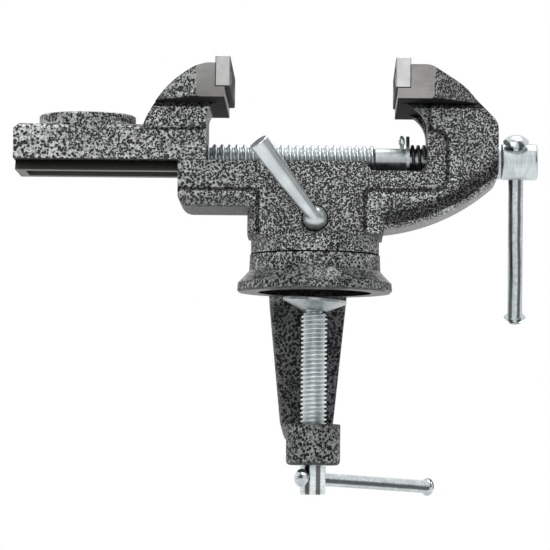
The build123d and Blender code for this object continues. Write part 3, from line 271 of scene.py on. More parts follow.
# --- node helpers -------------------------------------------------------------------
class Nodes:
    """A node tree under construction: adds nodes and joins sockets."""

    def __init__(self, tree):
        self.tree = tree
        self.tree.nodes.clear()

    def node(self, kind, inputs=None, **settings):
        made = self.tree.nodes.new(kind)
        for name, value in settings.items():
            setattr(made, name, value)
        for name, value in (inputs or {}).items():
            self.feed(value, made.inputs[name])
        return made

    def join(self, output, socket):
        self.tree.links.new(output, socket)

    def feed(self, value, socket):
        """Sets a socket to a number or colour, or joins an output to it."""
        if isinstance(value, bpy.types.NodeSocket):
            self.join(value, socket)
        else:
            socket.default_value = value

    def parts(self, vector):
        return self.node("ShaderNodeSeparateXYZ", {"Vector": vector}).outputs

    def math(self, operation, first, second=0.0, third=None):
        made = self.node("ShaderNodeMath", {0: first, 1: second}, operation=operation)
        if third is not None:
            self.feed(third, made.inputs[2])
        return made.outputs[0]

    def product(self, first, *others):
        for other in others:
            first = self.math("MULTIPLY", first, other)
        return first

    def inverse(self, value):
        return self.math("SUBTRACT", 1.0, value)

    def length(self, x, y):
        """Distance from an axis, from the two distances across it."""
        squares = self.math("ADD", self.product(x, x), self.product(y, y))
        return self.math("SQRT", squares)

    def ramp(self, value, low, high, start=0.0, end=1.0):
        """Smoothly from start to end while value goes from low to high."""
        made = self.node(
            "ShaderNodeMapRange",
            {"Value": value, "From Min": low, "From Max": high, "To Min": start, "To Max": end},
            interpolation_type="SMOOTHSTEP",
        )
        return made.outputs["Result"]

    def above(self, value, place, soft):
        """Zero up to a place, and one from the soft edge beyond it."""
        return self.ramp(value, place, place + soft)

    def below(self, value, place, soft):
        """One up to a place, and zero from the soft edge beyond it."""
        return self.ramp(value, place, place + soft, start=1.0, end=0.0)

    def band(self, value, low, high, soft):
        """One between low and high, zero outside, with soft edges outside them."""
        return self.product(self.above(value, low - soft, soft), self.below(value, high, soft))

    def dot(self, first, second):
        made = self.node("ShaderNodeVectorMath", {0: first, 1: second}, operation="DOT_PRODUCT")
        return made.outputs["Value"]

    def scaled(self, vector, factor):
        made = self.node("ShaderNodeVectorMath", {0: vector, "Scale": factor}, operation="SCALE")
        return made.outputs["Vector"]

    def vector_math(self, operation, first, second):
        made = self.node("ShaderNodeVectorMath", {0: first, 1: second}, operation=operation)
        return made.outputs["Vector"]

    def mix(self, kind, sockets, values):
        made = self.node("ShaderNodeMix", data_type=kind)
        for socket, value in zip(sockets, values):
            self.feed(value, made.inputs[socket])
        return made.outputs

    def blend(self, factor, first, second):
        """A mix of two colours."""
        return self.mix("RGBA", (0, 6, 7), (factor, first, second))[2]

    def mix_value(self, factor, first, second):
        return self.mix("FLOAT", (0, 2, 3), (factor, first, second))[0]

    def mix_normal(self, factor, first, second):
        return self.mix("VECTOR", (0, 4, 5), (factor, first, second))[1]


class Shader(Nodes):
    """A material under construction. place and facing are x, y and z of the point
    on the surface and of its normal."""

    SOCKETS = {
        "colour": "Base Color", "metallic": "Metallic", "roughness": "Roughness",
        "normal": "Normal", "coat": "Coat Weight", "coat_roughness": "Coat Roughness",
        "specular": "Specular IOR Level",
    }

    def __init__(self, name):
        self.material = bpy.data.materials.new(name)
        self.material.use_nodes = True
        super().__init__(self.material.node_tree)
        self.bsdf = self.node("ShaderNodeBsdfPrincipled")
        self.node("ShaderNodeOutputMaterial", {"Surface": self.bsdf.outputs["BSDF"]})
        coordinates = self.node("ShaderNodeTexCoord").outputs
        self.point = coordinates["Object"]
        self.place = self.parts(self.point)
        self.facing = self.parts(coordinates["Normal"])

    def set(self, **inputs):
        for name, value in inputs.items():
            self.feed(value, self.bsdf.inputs[self.SOCKETS[name]])

    def noise_node(self, scale, detail=2.0, roughness=0.5, vector=None):
        inputs = {
            "Vector": vector or self.point, "Scale": scale,
            "Detail": detail, "Roughness": roughness,
        }
        return self.node("ShaderNodeTexNoise", inputs)

    def noise(self, scale, detail=2.0, roughness=0.5, vector=None):
        return self.noise_node(scale, detail, roughness, vector).outputs["Fac"]

    def marks(self, stretch):
        """Fine straight machining lines, as a height."""
        mapping = self.node("ShaderNodeMapping", {"Vector": self.point, "Scale": stretch})
        return self.noise(1.0, 3.0, 0.7, vector=mapping.outputs["Vector"])

    def bump(self, height, distance, strength):
        inputs = {"Height": height, "Distance": distance, "Strength": strength}
        return self.node("ShaderNodeBump", inputs).outputs["Normal"]


# --- places on the castings, as masks from zero to one --------------------------------
def underside(shader):
    """Faces that look down, where the paint lies plain and is kept dark as painted shade."""
    return shader.ramp(shader.facing[2], *UNDERSIDE, start=1.0, end=0.0)


def endways(shader):
    """Faces that look along the slide, such as the throat's walls."""
    return shader.ramp(shader.math("ABSOLUTE", shader.facing[0]), *FACING)


def upward(shader):
    """Faces that look up, whose silver is painted dimmer to tone down their highlights."""
    return shader.ramp(shader.facing[2], *FACING)


def plain_share(shader):
    """All but the curved arm's underside, whose paint is as thick as on its sides."""
    x, _, z = shader.place
    beyond = shader.above(x, BELLY_START, soft=1.0 * MM)
    low = shader.below(z, BELLY_TOP, soft=2.0 * MM)
    return shader.inverse(shader.product(beyond, low))


def rounded_box(shader, span_x, span_z, radius):
    """Signed distance to a rounded rectangle in the side view, negative inside it."""
    outs = []
    for value, (low, high) in zip((shader.place[0], shader.place[2]), (span_x, span_z)):
        from_middle = shader.math("SUBTRACT", value, (low + high) / 2)
        inner_half = (high - low) / 2 - radius
        outs.append(shader.math("SUBTRACT", shader.math("ABSOLUTE", from_middle), inner_half))
    corner = shader.length(*[shader.math("MAXIMUM", out, 0.0) for out in outs])
    inside = shader.math("MINIMUM", shader.math("MAXIMUM", *outs), 0.0)
    return shader.math("SUBTRACT", shader.math("ADD", corner, inside), radius)


def panel_distance(shader):
    """Signed distance to the recessed panel's edge in the side view, negative in the panel."""
    column = rounded_box(shader, PANEL_ON_COLUMN, (-BOX_REACH, BOX_REACH), PANEL_CORNER)
    sleeve = rounded_box(
        shader, PANEL_ON_SLEEVE, (PANEL_STEP, PANEL_STEP + BOX_REACH), PANEL_CORNER
    )
    right, top = PANEL_IN_ARM
    arm = rounded_box(shader, (right - BOX_REACH, right), (PANEL_STEP, top), ARM_PANEL_CORNER)
    both = shader.math("SMOOTH_MIN", column, sleeve, PANEL_FILLET)
    return shader.math("MINIMUM", both, arm)


def jaw_sides(shader):
    """The machined sides of a jaw head, with rounded lower corners."""
    across = shader.math("ABSOLUTE", shader.place[1])
    side = shader.above(across, JAW_HALF_WIDTH - SIDE_DEPTH, soft=0.08 * MM)
    upwards = (JAW_UNDERSIDE, JAW_UNDERSIDE + BOX_REACH)
    flat = rounded_box(shader, JAW_FLATS, upwards, FLAT_CORNER)
    return shader.product(side, shader.below(flat, -FLAT_INSET, soft=EDGE_SOFT))


def jaw_fronts(shader):
    """The machined seats behind the jaw plates and the heads' fronts."""
    x, _, z = shader.place
    front = shader.band(x, *JAW_SEATS, soft=EDGE_SOFT)
    return shader.product(front, shader.above(z, JAW_UNDERSIDE, soft=0.1 * MM))


def anvil_top(shader):
    x, _, z = shader.place
    left = shader.below(x, ANVIL_EDGE, soft=EDGE_SOFT)
    return shader.product(left, shader.above(z, ANVIL_TOP, soft=0.3 * MM))


def rail(shader):
    """The dovetail rail and the nut under the bar."""
    return shader.below(shader.place[2], RAIL_TOP - RAIL_INSET, soft=0.15 * MM)


def flange_ring(shader):
    """The flange's underside, faced to sit flat on the bench."""
    x, y, z = shader.place
    low = shader.band(z, -FACE_DEPTH, FACE_DEPTH, soft=FACE_DEPTH)
    ring = shader.band(shader.length(x, y), HOLLOW_RADIUS, FLANGE_RADIUS, soft=EDGE_SOFT)
    return shader.product(low, ring)


def slide_floor(shader):
    """The inside of the slideway and of the spring pocket, near black."""
    x, y, z = shader.place
    across = shader.math("ABSOLUTE", y)
    return shader.product(
        shader.below(across, SLIDEWAY_HALF_WIDTH, soft=0.4 * MM),
        shader.below(z, SLIDEWAY_TOP, soft=0.15 * MM),
        shader.below(x, POCKET_END, soft=0.4 * MM),
        shader.above(z, POCKET_FLOOR, soft=EDGE_SOFT),
    )


# --- painted shade on the castings, as masks from zero to one -------------------------
def hollow(shader):
    """Shade painted near black inside the base, above the screw's pad."""
    x, y, z = shader.place
    inside = shader.below(shader.length(x, y), HOLLOW_RADIUS, soft=0.3 * MM)
    height = shader.band(z, EDGE_SOFT, HOLLOW_TOP, soft=EDGE_SOFT)
    return shader.product(inside, height)


def band_edge(shader):
    """Shade painted in the corner at the foot of the raised band."""
    across = shader.math("ABSOLUTE", shader.place[1])
    on_side = shader.above(across, PANEL_HALF_WIDTH - 0.3 * MM, soft=0.3 * MM)
    narrow = shader.below(across, CASTING_HALF_WIDTH, soft=0.5 * MM)
    from_foot = shader.above(shader.place[2], SLEEVE_JOINT + BAND_FOOT, soft=2.0 * MM)
    line = shader.band(panel_distance(shader), *BAND_SHADE_SPAN, soft=0.7 * MM)
    return shader.product(on_side, narrow, from_foot, line)


def belly(shader):
    """Shade painted on the rounded lower edge of the curved arm, but for a thin line near its
    corner left unshaded for its highlights.
    """
    x, y, z = shader.place
    along = shader.math("SUBTRACT", x, BELLY_CENTRE[0])
    up = shader.math("SUBTRACT", z, BELLY_CENTRE[1])
    out = shader.length(along, up)
    near = shader.above(out, BELLY_RADIUS - BELLY_SHADE, soft=5.0 * MM)
    inner, outer = (BELLY_RADIUS - inwards for inwards in BELLY_UNSHADED_LINE)
    worn_and_unshaded = shader.band(out, inner, outer, soft=0.3 * MM)
    beyond = shader.above(x, BELLY_START, soft=1.0 * MM)
    across = shader.math("ABSOLUTE", y)
    depth = shader.ramp(across, BELLY_HALF_WIDTH, BELLY_HALF_WIDTH + 1.0 * MM, *BELLY_SHADE_DEPTHS)
    return shader.product(shader.math("SUBTRACT", near, worn_and_unshaded), beyond, depth)


def arm_shade(shader):
    """The clamp arm's dark faces, with its boss a little lighter."""
    z = shader.place[2]
    arm = shader.ramp(z, *ARM_TO_FLANGE, start=1.0, end=0.0)
    return shader.product(arm, shader.ramp(z, *BOSS_TO_ARM, start=BOSS_SHADE, end=1.0))


def lock_ring(shader):
    """Shade painted in a thin ring round the lock screw's dome."""
    x, y, z = shader.place
    low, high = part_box("lock_lever")
    radius = high[0]
    up = shader.math("SUBTRACT", z, low[2] + radius)
    ring = shader.below(shader.length(x, up), radius + LOCK_RING_WIDTH, soft=0.5 * MM)
    return shader.product(ring, shader.ramp(y, *LOCK_FRONT, start=1.0, end=0.0))


def head_underside(shader):
    """Shade painted under a jaw head, where it overhangs the casting."""
    below, above = HEAD_SHADE_SPAN
    z = shader.place[2]
    return shader.band(z, JAW_UNDERSIDE - below, JAW_UNDERSIDE + above, soft=0.5 * MM)


def joint_line(shader):
    """Shade painted in the seam where the body turns on the base."""
    below, above = JOINT_SHADE_SPAN
    z = shader.place[2]
    return shader.band(z, SLEEVE_JOINT - below, SLEEVE_JOINT + above, soft=EDGE_SOFT)


def neck_line(shader):
    """Shade painted along the hollow where the moving jaw's neck meets the bar."""
    x, _, z = shader.place
    low, high = (BAR_TOP - below for below in NECK_SHADE_SPAN)
    near = shader.band(z, low, high, soft=0.5 * MM)
    return shader.product(near, shader.band(x, *NECK_SPAN, soft=3.0 * MM))


# --- brightness of the bare faces -----------------------------------------------------
def moving_side_light(shader):
    """The moving jaw's side darkens downwards, as painted shade."""
    return shader.ramp(shader.place[2], JAW_UNDERSIDE, SIDE_LIGHT_TOP, *SIDE_LIGHTS)


def rail_light(shader):
    """Black near the bar, with a soft painted highlight along the rail's lower edge."""
    z = shader.place[2]
    below_edge, below_top = RAIL_FADE
    up = shader.ramp(z, RAIL_BOTTOM - below_edge, RAIL_TOP - below_top, *RAIL_LIGHTS)
    corner = shader.ramp(z, RAIL_CORNER, RAIL_BOTTOM, start=RAIL_CORNER_LIGHT, end=1.0)
    return shader.product(up, corner)


# --- brightness and coarseness of the paint --------------------------------------------
def head_tone(shader):
    """Painted shade: dimmer on a jaw head's taper."""
    low = JAW_UNDERSIDE - 1.0 * MM
    return shader.ramp(shader.place[2], low, JAW_UNDERSIDE, start=1.0, end=HEAD_TONE)


def bar_tone(shader):
    """Painted light: the bar's paint is brightest at its far end, and the neck's below the head.
    """
    x, _, z = shader.place
    bar = shader.ramp(x, *BAR_TO_NECK_TONE, *BAR_TONES)
    neck = shader.product(shader.ramp(x, *NECK_START), shader.ramp(z, *NECK_FOOT))
    return shader.product(shader.mix_value(neck, bar, NECK_TONE), head_tone(shader))


def bar_cells(shader):
    """Large cells at the bar's far end, fine ones on the jaw."""
    return shader.ramp(shader.place[0], *BAR_TO_NECK_CELLS, *BAR_CELLS)


def band_light(shader):
    """The raised band is brighter beside its inner edge."""
    near = shader.band(panel_distance(shader), *BAND_BRIGHT_STRIP, soft=1.0 * MM)
    return shader.mix_value(near, *BAND_TONES)


def body_tone(shader):
    """Dimmer low on the sleeve, and on the jaw's taper as painted shade."""
    x, _, z = shader.place
    sleeve = shader.ramp(x, *SLEEVE_TO_COLUMN_TONE, start=1.0, end=0.0)
    low = shader.product(sleeve, shader.ramp(z, *SLEEVE_LOW, start=1.0, end=0.0))
    return shader.product(
        band_light(shader), shader.mix_value(low, 1.0, SLEEVE_LOW_TONE), head_tone(shader)
    )


def body_cells(shader):
    """Large cells on the sleeve's end, fine ones on the column and arm."""
    return shader.ramp(shader.place[0], *SLEEVE_TO_COLUMN_CELLS, *BODY_CELLS)


def base_tone(shader):
    """The flange and the clamp arm are dimmer than the barrel and the boss."""
    z = shader.place[2]
    arm = shader.ramp(z, *ARM_TO_FLANGE, *ARM_TONES)
    barrel = shader.ramp(z, *FLANGE_TO_BARREL, start=0.0, end=BARREL_TONE)
    boss = shader.ramp(z, *BOSS_TO_ARM, start=BOSS_TONE, end=0.0)
    return shader.math("MAXIMUM", shader.math("MAXIMUM", arm, barrel), boss)


def base_cells(shader):
    """Large cells on the clamp arm, finer ones on the base above it."""
    return shader.ramp(shader.place[2], *ARM_TO_FLANGE, *BASE_CELLS)


# --- hammered paint ---------------------------------------------------------------------
def cell_net(shader, cell, sizes):
    """One on the silver net between round dark cells, zero inside them."""
    warp = shader.noise_node(WARP_SCALE / cell).outputs["Color"]
    centred = shader.vector_math("SUBTRACT", warp, (0.5, 0.5, 0.5))
    place = shader.vector_math("ADD", shader.point, shader.scaled(centred, WARP_REACH * cell))
    cells = shader.node(
        "ShaderNodeTexVoronoi",
        {"Vector": place, "Scale": 1 / cell, "Randomness": CELL_RANDOMNESS},
        feature="F1",
    )
    small, large = sizes
    size = shader.ramp(shader.noise(SIZE_SCALE / cell, 2.0, 0.6), 0.32, 0.68, small, large)
    beyond = shader.math("SUBTRACT", cells.outputs["Distance"], size)
    return shader.ramp(beyond, *CELL_EDGE)


def hammered(shader, coarse, tone):
    """(colour, height, silver share) of hammertone paint: a silver net round dark cells."""
    patches = shader.ramp(shader.noise(PATCHES), 0.35, 0.65, start=0.05, end=0.95)
    share = shader.ramp(shader.math("SUBTRACT", coarse, patches), -PATCH_EDGE, PATCH_EDGE)
    fine_net = cell_net(shader, FINE_CELL, FINE_SIZES)
    net = shader.mix_value(share, fine_net, cell_net(shader, COARSE_CELL, COARSE_SIZES))
    flecks = shader.noise(FLECK_SCALE / FINE_CELL, 2.0, 0.7)
    broken = shader.ramp(flecks, 0.36, 0.60, start=0.22, end=1.0)
    clouds = shader.ramp(shader.noise(CLOUDS), *NOISE_SPREAD, start=0.75, end=1.0)
    silver = shader.product(net, broken, clouds, tone)
    return shader.blend(silver, PAINT_DARK, PAINT_SILVER), net, silver


def painted(shader, coarse, tone):
    """The look of the paint. clean is the share of gloss that it keeps."""
    dulled = shader.product(tone, shader.mix_value(upward(shader), 1.0, UPWARD_DIMMING))
    colour, height, silver = hammered(shader, coarse, dulled)
    plain = shader.product(underside(shader), plain_share(shader))
    dry = shader.math("MAXIMUM", plain, endways(shader))
    relief = shader.product(height, shader.inverse(plain))
    return {
        "colour": shader.blend(shader.product(plain, PLAIN_COVER), colour, PAINT_PLAIN),
        "metal": shader.product(silver, PAINT_METAL),
        "rough": shader.mix_value(dry, shader.mix_value(silver, *PAINT_ROUGH), DRY_ROUGH),
        "clean": shader.mix_value(dry, 1.0, DRY_GLOSS),
        "normal": shader.bump(relief, HAMMER_DEPTH, strength=0.85),
    }


def add_painted_shade(shader, look, places):
    """A look with shade painted dark in places, which dulls its gloss too."""
    clear = 1.0
    for mask, strength in places:
        painted_shade = shader.product(mask(shader), strength)
        clear = shader.product(clear, shader.inverse(painted_shade))
    return {
        **look,
        "colour": shader.blend(clear, PAINTED_SHADE_COLOUR, look["colour"]),
        "metal": shader.product(look["metal"], clear),
        "clean": shader.product(look["clean"], clear),
    }


def machined(shader, brightness):
    """The look of a bare milled face."""
    lines = shader.marks(MILLED)
    blotches = shader.ramp(shader.noise(BLOTCHES, 3.0), *NOISE_SPREAD, start=0.86, end=1.1)
    level = shader.product(
        shader.ramp(lines, 0.2, 0.8, start=0.88, end=1.08), blotches, brightness
    )
    return {
        "colour": shader.scaled(BARE_IRON, level), "metal": 0.75, "rough": 0.46, "clean": 1.0,
        "normal": shader.bump(lines, 0.012 * MM, strength=0.8),
    }


def greased(shader, brightness):
    """The look of an oily sliding face, which leaves the gloss below as it is."""
    return {
        "colour": shader.scaled(OILED_IRON, brightness), "metal": 0.3, "rough": 0.4,
        "normal": shader.bump(shader.marks(SMEARED), 0.02 * MM, strength=0.5),
    }


def covered(shader, look, mask, cover):
    """A look with another one over it where the mask is one."""
    mixers = {"colour": shader.blend, "normal": shader.mix_normal}
    result = dict(look)
    for part, value in cover.items():
        mixer = mixers.get(part, shader.mix_value)
        result[part] = mixer(mask, look[part], value)
    return result


def level_of(shader, brightness):
    """A brightness, given as a number or as a function of the shader."""
    return brightness(shader) if callable(brightness) else brightness


def casting_paint(name, coarse, tone, painted_shade, bare=(), oiled=()):
    """Hammertone paint on cast iron.

    coarse is how much of the paint has large cells, tone dims its silver, the list after it
    holds (mask, strength) of places painted dark as shade, and bare and oiled hold
    (mask, brightness) of machined and greasy faces."""
    shader = Shader(name)
    look = add_painted_shade(shader, painted(shader, coarse(shader), tone(shader)), painted_shade)
    for finish, places in ((machined, bare), (greased, oiled)):
        for mask, brightness in places:
            cover = finish(shader, level_of(shader, brightness))
            look = covered(shader, look, mask(shader), cover)
    shader.set(
        colour=look["colour"], metallic=look["metal"], roughness=look["rough"],
        normal=look["normal"], specular=shader.product(look["clean"], PAINT_SPECULAR),
        coat=shader.product(look["clean"], PAINT_COAT), coat_roughness=0.2,
    )
    return shader.material


# --- zinc and steel -----------------------------------------------------------------------
def bar_line(node):
    """The middle, direction and half length of a bar, from its mesh."""
    low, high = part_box(node)
    side = max(range(3), key=lambda axis: high[axis] - low[axis])
    half_way = (low[side] + high[side]) / 2
    points = [vertex.co for vertex in NODES[node].data.vertices]
    ends = []
    for above in (False, True):
        half = [point for point in points if (point[side] > half_way) == above]
        ends.append(sum(half, Vector()) / len(half))
    middle = (ends[0] + ends[1]) / 2
    axis = (ends[1] - ends[0]).normalized()
    return middle, axis, max((point - middle).dot(axis) for point in points)


def painted_reflection_bands(shader, node, across, radius, spans):
    """Dark reflections painted along a drawn bar, up to its knobs. The spans lie from -1 to 1
    in the direction that across gives."""
    middle, axis, reach = bar_line(node)
    across = Vector(across)
    across = (across - axis * across.dot(axis)).normalized()
    offset = shader.math("SUBTRACT", shader.dot(shader.point, across), across.dot(middle))
    wander = shader.product(shader.math("SUBTRACT", shader.noise(WANDER), 0.5), REFLECTION_BAND_WANDER)
    place = shader.math("ADD", shader.math("DIVIDE", offset, radius), wander)
    dark = 0.0
    for low, high in spans:
        dark = shader.math("MAXIMUM", dark, shader.band(place, low, high, soft=REFLECTION_BAND_SOFT))
    along = shader.math("SUBTRACT", shader.dot(shader.point, axis), axis.dot(middle))
    from_middle = shader.math("ABSOLUTE", along)
    return shader.product(dark, shader.below(from_middle, reach - KNOB_LENGTH, soft=1.0 * MM))


def lead_reflection_bands(shader):
    return painted_reflection_bands(shader, "lead_handle_bar", (1, 0, 0), LEAD_BAR_RADIUS, LEAD_REFLECTION_BANDS)


def clamp_reflection_bands(shader):
    return painted_reflection_bands(shader, "clamp_handle_bar", (0, 0, 1), CLAMP_BAR_RADIUS, CLAMP_REFLECTION_BANDS)


def thread_shade(shader, across, up, root, crest):
    """Darker between a thread's crests. across and up are distances from its axis."""
    halfway = (root + crest) / 2
    return shader.ramp(shader.length(across, up), root, halfway, start=ROOT_LIGHT, end=1.0)


def lead_roots(shader):
    _, y, z = shader.place
    up = shader.math("SUBTRACT", z, LEAD_HEIGHT)
    return thread_shade(shader, y, up, LEAD_ROOT, LEAD_CREST)


def clamp_roots(shader):
    """Shade painted in the thread roots, and dark reflections painted down the stem below the
    thread.
    """
    x, y, z = shader.place
    roots = thread_shade(shader, x, y, CLAMP_ROOT, CLAMP_CREST)
    place = shader.math("DIVIDE", shader.math("ABSOLUTE", x), STEM_RADIUS)
    outside_reflection_bands = shader.inverse(shader.band(place, *STEM_REFLECTION_BAND, soft=0.15))
    stem = shader.below(z, CLAMP_THREAD_BOTTOM - 0.1 * MM, soft=0.1 * MM)
    return shader.mix_value(stem, roots, outside_reflection_bands)


def zinc(name, rough, tone, stretch, dark=None, shade=None):
    """Bright zinc plate: bluish, a little mottled, with fine turning marks.

    dark gives the dark reflections painted along a bar, and shade the shade painted in a
    thread's roots."""
    shader = Shader(name)
    mottle = shader.noise(MOTTLE, 4.0, 0.6)
    lines = shader.marks(stretch)
    dull = grey(tone * 0.84, ZINC_DULL_TINT)
    bright = grey(tone * 1.08, ZINC_BRIGHT_TINT)
    colour = shader.blend(shader.ramp(mottle, 0.3, 0.75), dull, bright)
    colour = shader.scaled(colour, shader.ramp(lines, 0.35, 0.65, start=0.80, end=1.06))
    if dark:
        colour = shader.blend(shader.product(dark(shader), REFLECTION_BAND_STRENGTH), colour, REFLECTION_DARK)
    if shade:
        colour = shader.blend(shade(shader), THREAD_DARK, colour)
    shader.set(
        colour=colour, metallic=1.0,
        roughness=shader.ramp(mottle, 0.25, 0.75, start=rough * 0.8, end=rough * 1.35),
        normal=shader.bump(lines, 0.0025 * MM, strength=0.7),
    )
    return shader.material


def knurl(shader):
    """Height of the crossed grooves on a gripping face, from 0 to 1."""
    _, y, z = shader.place
    grooves = []
    for sum_or_difference in ("ADD", "SUBTRACT"):
        along = shader.math(sum_or_difference, y, z)
        wave = shader.math("SINE", shader.product(along, 2 * math.pi / KNURL_PITCH))
        grooves.append(shader.ramp(wave, -0.9, -0.2))
    return shader.product(*grooves)


def ground_steel(name, tone):
    """Hardened jaw plate: satin ground faces, cross-grooved gripping face. The gripping face
    and the underside are painted dark as shade, darkest in the grooves; tone lightens
    or darkens the whole plate as painted light.
    """
    shader = Shader(name)
    clouds = shader.noise(PLATE_CLOUDS, 4.0, 0.65)
    dull = grey(0.56 * tone, PLATE_TINT)
    ground = shader.blend(shader.ramp(clouds, *NOISE_SPREAD), dull, grey(0.74 * tone))
    end_face = shader.ramp(shader.math("ABSOLUTE", shader.facing[0]), *GRIPPING)
    gripping_and_underside = shader.math("MAXIMUM", end_face, underside(shader))
    height = knurl(shader)
    grooved = shader.blend(height, GROOVE_DARK, GROOVE_LIGHT)
    satin = shader.ramp(clouds, 0.2, 0.8, start=0.34, end=0.5)
    fine = shader.bump(shader.marks(GROUND), 0.01 * MM, strength=0.7)
    deep = shader.bump(height, 0.25 * MM, strength=0.9)
    shader.set(
        colour=shader.blend(gripping_and_underside, ground, grooved),
        metallic=shader.mix_value(gripping_and_underside, 0.9, 0.2),
        specular=shader.mix_value(gripping_and_underside, 0.5, 0.1),
        roughness=shader.mix_value(gripping_and_underside, satin, 0.7),
        normal=shader.mix_normal(gripping_and_underside, fine, deep),
    )
    return shader.material


def black_steel(name, tone):
    """Blackened spring and screw steel with an oily sheen."""
    shader = Shader(name)
    cloud = shader.noise(BLACK_CLOUDS, 3.0)
    worn_and_unshaded = grey(tone * 1.9, BLACK_TINT)
    shader.set(
        colour=shader.blend(shader.ramp(cloud, *NOISE_SPREAD), grey(tone * 0.6), worn_and_unshaded),
        metallic=0.7, roughness=shader.ramp(cloud, *NOISE_SPREAD, start=0.3, end=0.45),
        normal=shader.bump(cloud, 0.02 * MM, strength=0.4), coat=0.3, coat_roughness=0.2,
    )
    return shader.material


def die_cast(name):
    """Satin zinc alloy with a faint grain."""
    shader = Shader(name)
    grain = shader.noise(LEVER_GRAIN, 3.0, 0.6)
    clouds = shader.ramp(shader.noise(LEVER_CLOUDS, 3.0), *NOISE_SPREAD)
    shader.set(
        colour=shader.blend(clouds, LEVER_DULL, LEVER_BRIGHT), metallic=0.85,
        roughness=shader.ramp(grain, 0.2, 0.8, start=0.3, end=0.42),
        normal=shader.bump(grain, 0.02 * MM, strength=0.5),
    )
    return shader.material


# --- meshes -------------------------------------------------------------------------
def thread_radius(phase, root, crest):
    """Radius across one pitch of a rounded trapezoidal thread, phase from 0 to 1."""
    fall_start = THREAD_RISE + THREAD_FLAT
    if phase < THREAD_RISE:
        share = phase / THREAD_RISE
    elif phase < fall_start:
        share = 1.0
    elif phase < fall_start + THREAD_RISE:
        share = 1.0 - (phase - fall_start) / THREAD_RISE
    else:
        share = 0.0
    rounded = share * share * (3 - 2 * share)
    return root + (crest - root) * rounded


def thread_ring(mesh, along, pitch, root, crest, limit):
    """One ring of a threaded rod's vertices, nowhere wider than the limit."""
    ring = []
    for side in range(THREAD_SIDES):
        turn = side / THREAD_SIDES
        phase = (along / pitch - turn) % 1.0
        radius = min(thread_radius(phase, root, crest), limit)
        angle = 2 * math.pi * turn
        ring.append(mesh.verts.new((radius * math.cos(angle), radius * math.sin(angle), along)))
    return ring


def threaded_rod(length, pitch, root, crest):
    """A closed threaded rod along +Z from zero, with a bevel at both ends."""
    mesh = bmesh.new()
    steps = round(length / pitch * THREAD_RINGS)
    rings = []
    for step in range(steps + 1):
        along = length * step / steps
        to_end = min(along, length - along)
        limit = crest - max(0.0, THREAD_BEVEL - to_end)
        rings.append(thread_ring(mesh, along, pitch, root, crest, limit))
    for low, high in zip(rings, rings[1:]):
        for side in range(THREAD_SIDES):
            following = (side + 1) % THREAD_SIDES
            mesh.faces.new((low[side], low[following], high[following], high[side]))
    mesh.faces.new(list(reversed(rings[0])))
    mesh.faces.new(rings[-1])
    return mesh


def keep_of_node(node, axis, low, high):
    """A copy of a node's mesh without what lies between low and high along an axis."""
    mesh = bmesh.new()
    mesh.from_mesh(NODES[node].data)
    bmesh.ops.remove_doubles(mesh, verts=mesh.verts, dist=WELD)
    normal = Vector([1.0 if index == axis else 0.0 for index in range(3)])
    for place in (low, high):
        everything = mesh.verts[:] + mesh.edges[:] + mesh.faces[:]
        bmesh.ops.bisect_plane(mesh, geom=everything, plane_co=normal * place, plane_no=normal)
    middle = [face for face in mesh.faces if low < face.calc_center_median()[axis] < high]
    bmesh.ops.delete(mesh, geom=middle, context="FACES")
    bmesh.ops.holes_fill(mesh, edges=[edge for edge in mesh.edges if edge.is_boundary], sides=0)
    return mesh


def joined(name, *meshes):
    """One object from several bmesh pieces, smooth with sharp corners kept."""
    whole = bmesh.new()
    for mesh in meshes:
        scratch = bpy.data.meshes.new("scratch")
        mesh.to_mesh(scratch)
        mesh.free()
        whole.from_mesh(scratch)
        bpy.data.meshes.remove(scratch)
    bmesh.ops.recalc_face_normals(whole, faces=whole.faces)
    data = bpy.data.meshes.new(name)
    whole.to_mesh(data)
    whole.free()
    made = bpy.data.objects.new(name, data)
    bpy.context.scene.collection.objects.link(made)
    smooth(made)
    return made


def smooth(piece):
    piece.data.polygons.foreach_set("use_smooth", [True] * len(piece.data.polygons))
    piece.data.set_sharp_from_angle(angle=math.radians(SMOOTH_ANGLE))


def dress(piece, material):
    piece.data.materials.clear()
    piece.data.materials.append(material)


def threaded_lead_screw(material):
    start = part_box("lead_screw")[0][0]
    rod = threaded_rod(LEAD_THREAD_END - start, LEAD_PITCH, LEAD_ROOT, LEAD_CREST)
    lay_down = Matrix.Rotation(math.radians(90), 4, "Y")
    place = Matrix.Translation((start, 0, LEAD_HEIGHT)) @ lay_down
    bmesh.ops.transform(rod, matrix=place, verts=rod.verts)
    rest = keep_of_node("lead_screw", 0, start - MM, LEAD_THREAD_END - CUT_OVERLAP)
    screw = joined("lead_screw_threaded", rest, rod)
    dress(screw, material)
    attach(screw, "lead_screw")
    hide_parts("lead_screw")


def threaded_clamp_screw(material):
    length = CLAMP_THREAD_TOP - CLAMP_THREAD_BOTTOM
    rod = threaded_rod(length, CLAMP_PITCH, CLAMP_ROOT, CLAMP_CREST)
    place = Matrix.Translation((0, 0, CLAMP_THREAD_BOTTOM))
    bmesh.ops.transform(rod, matrix=place, verts=rod.verts)
    rest = keep_of_node(
        "clamp_screw", 2, CLAMP_THREAD_BOTTOM + CUT_OVERLAP, CLAMP_THREAD_TOP
    )
    screw = joined("clamp_screw_threaded", rest, rod)
    dress(screw, material)
    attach(screw, "clamp_screw")
    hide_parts("clamp_screw")


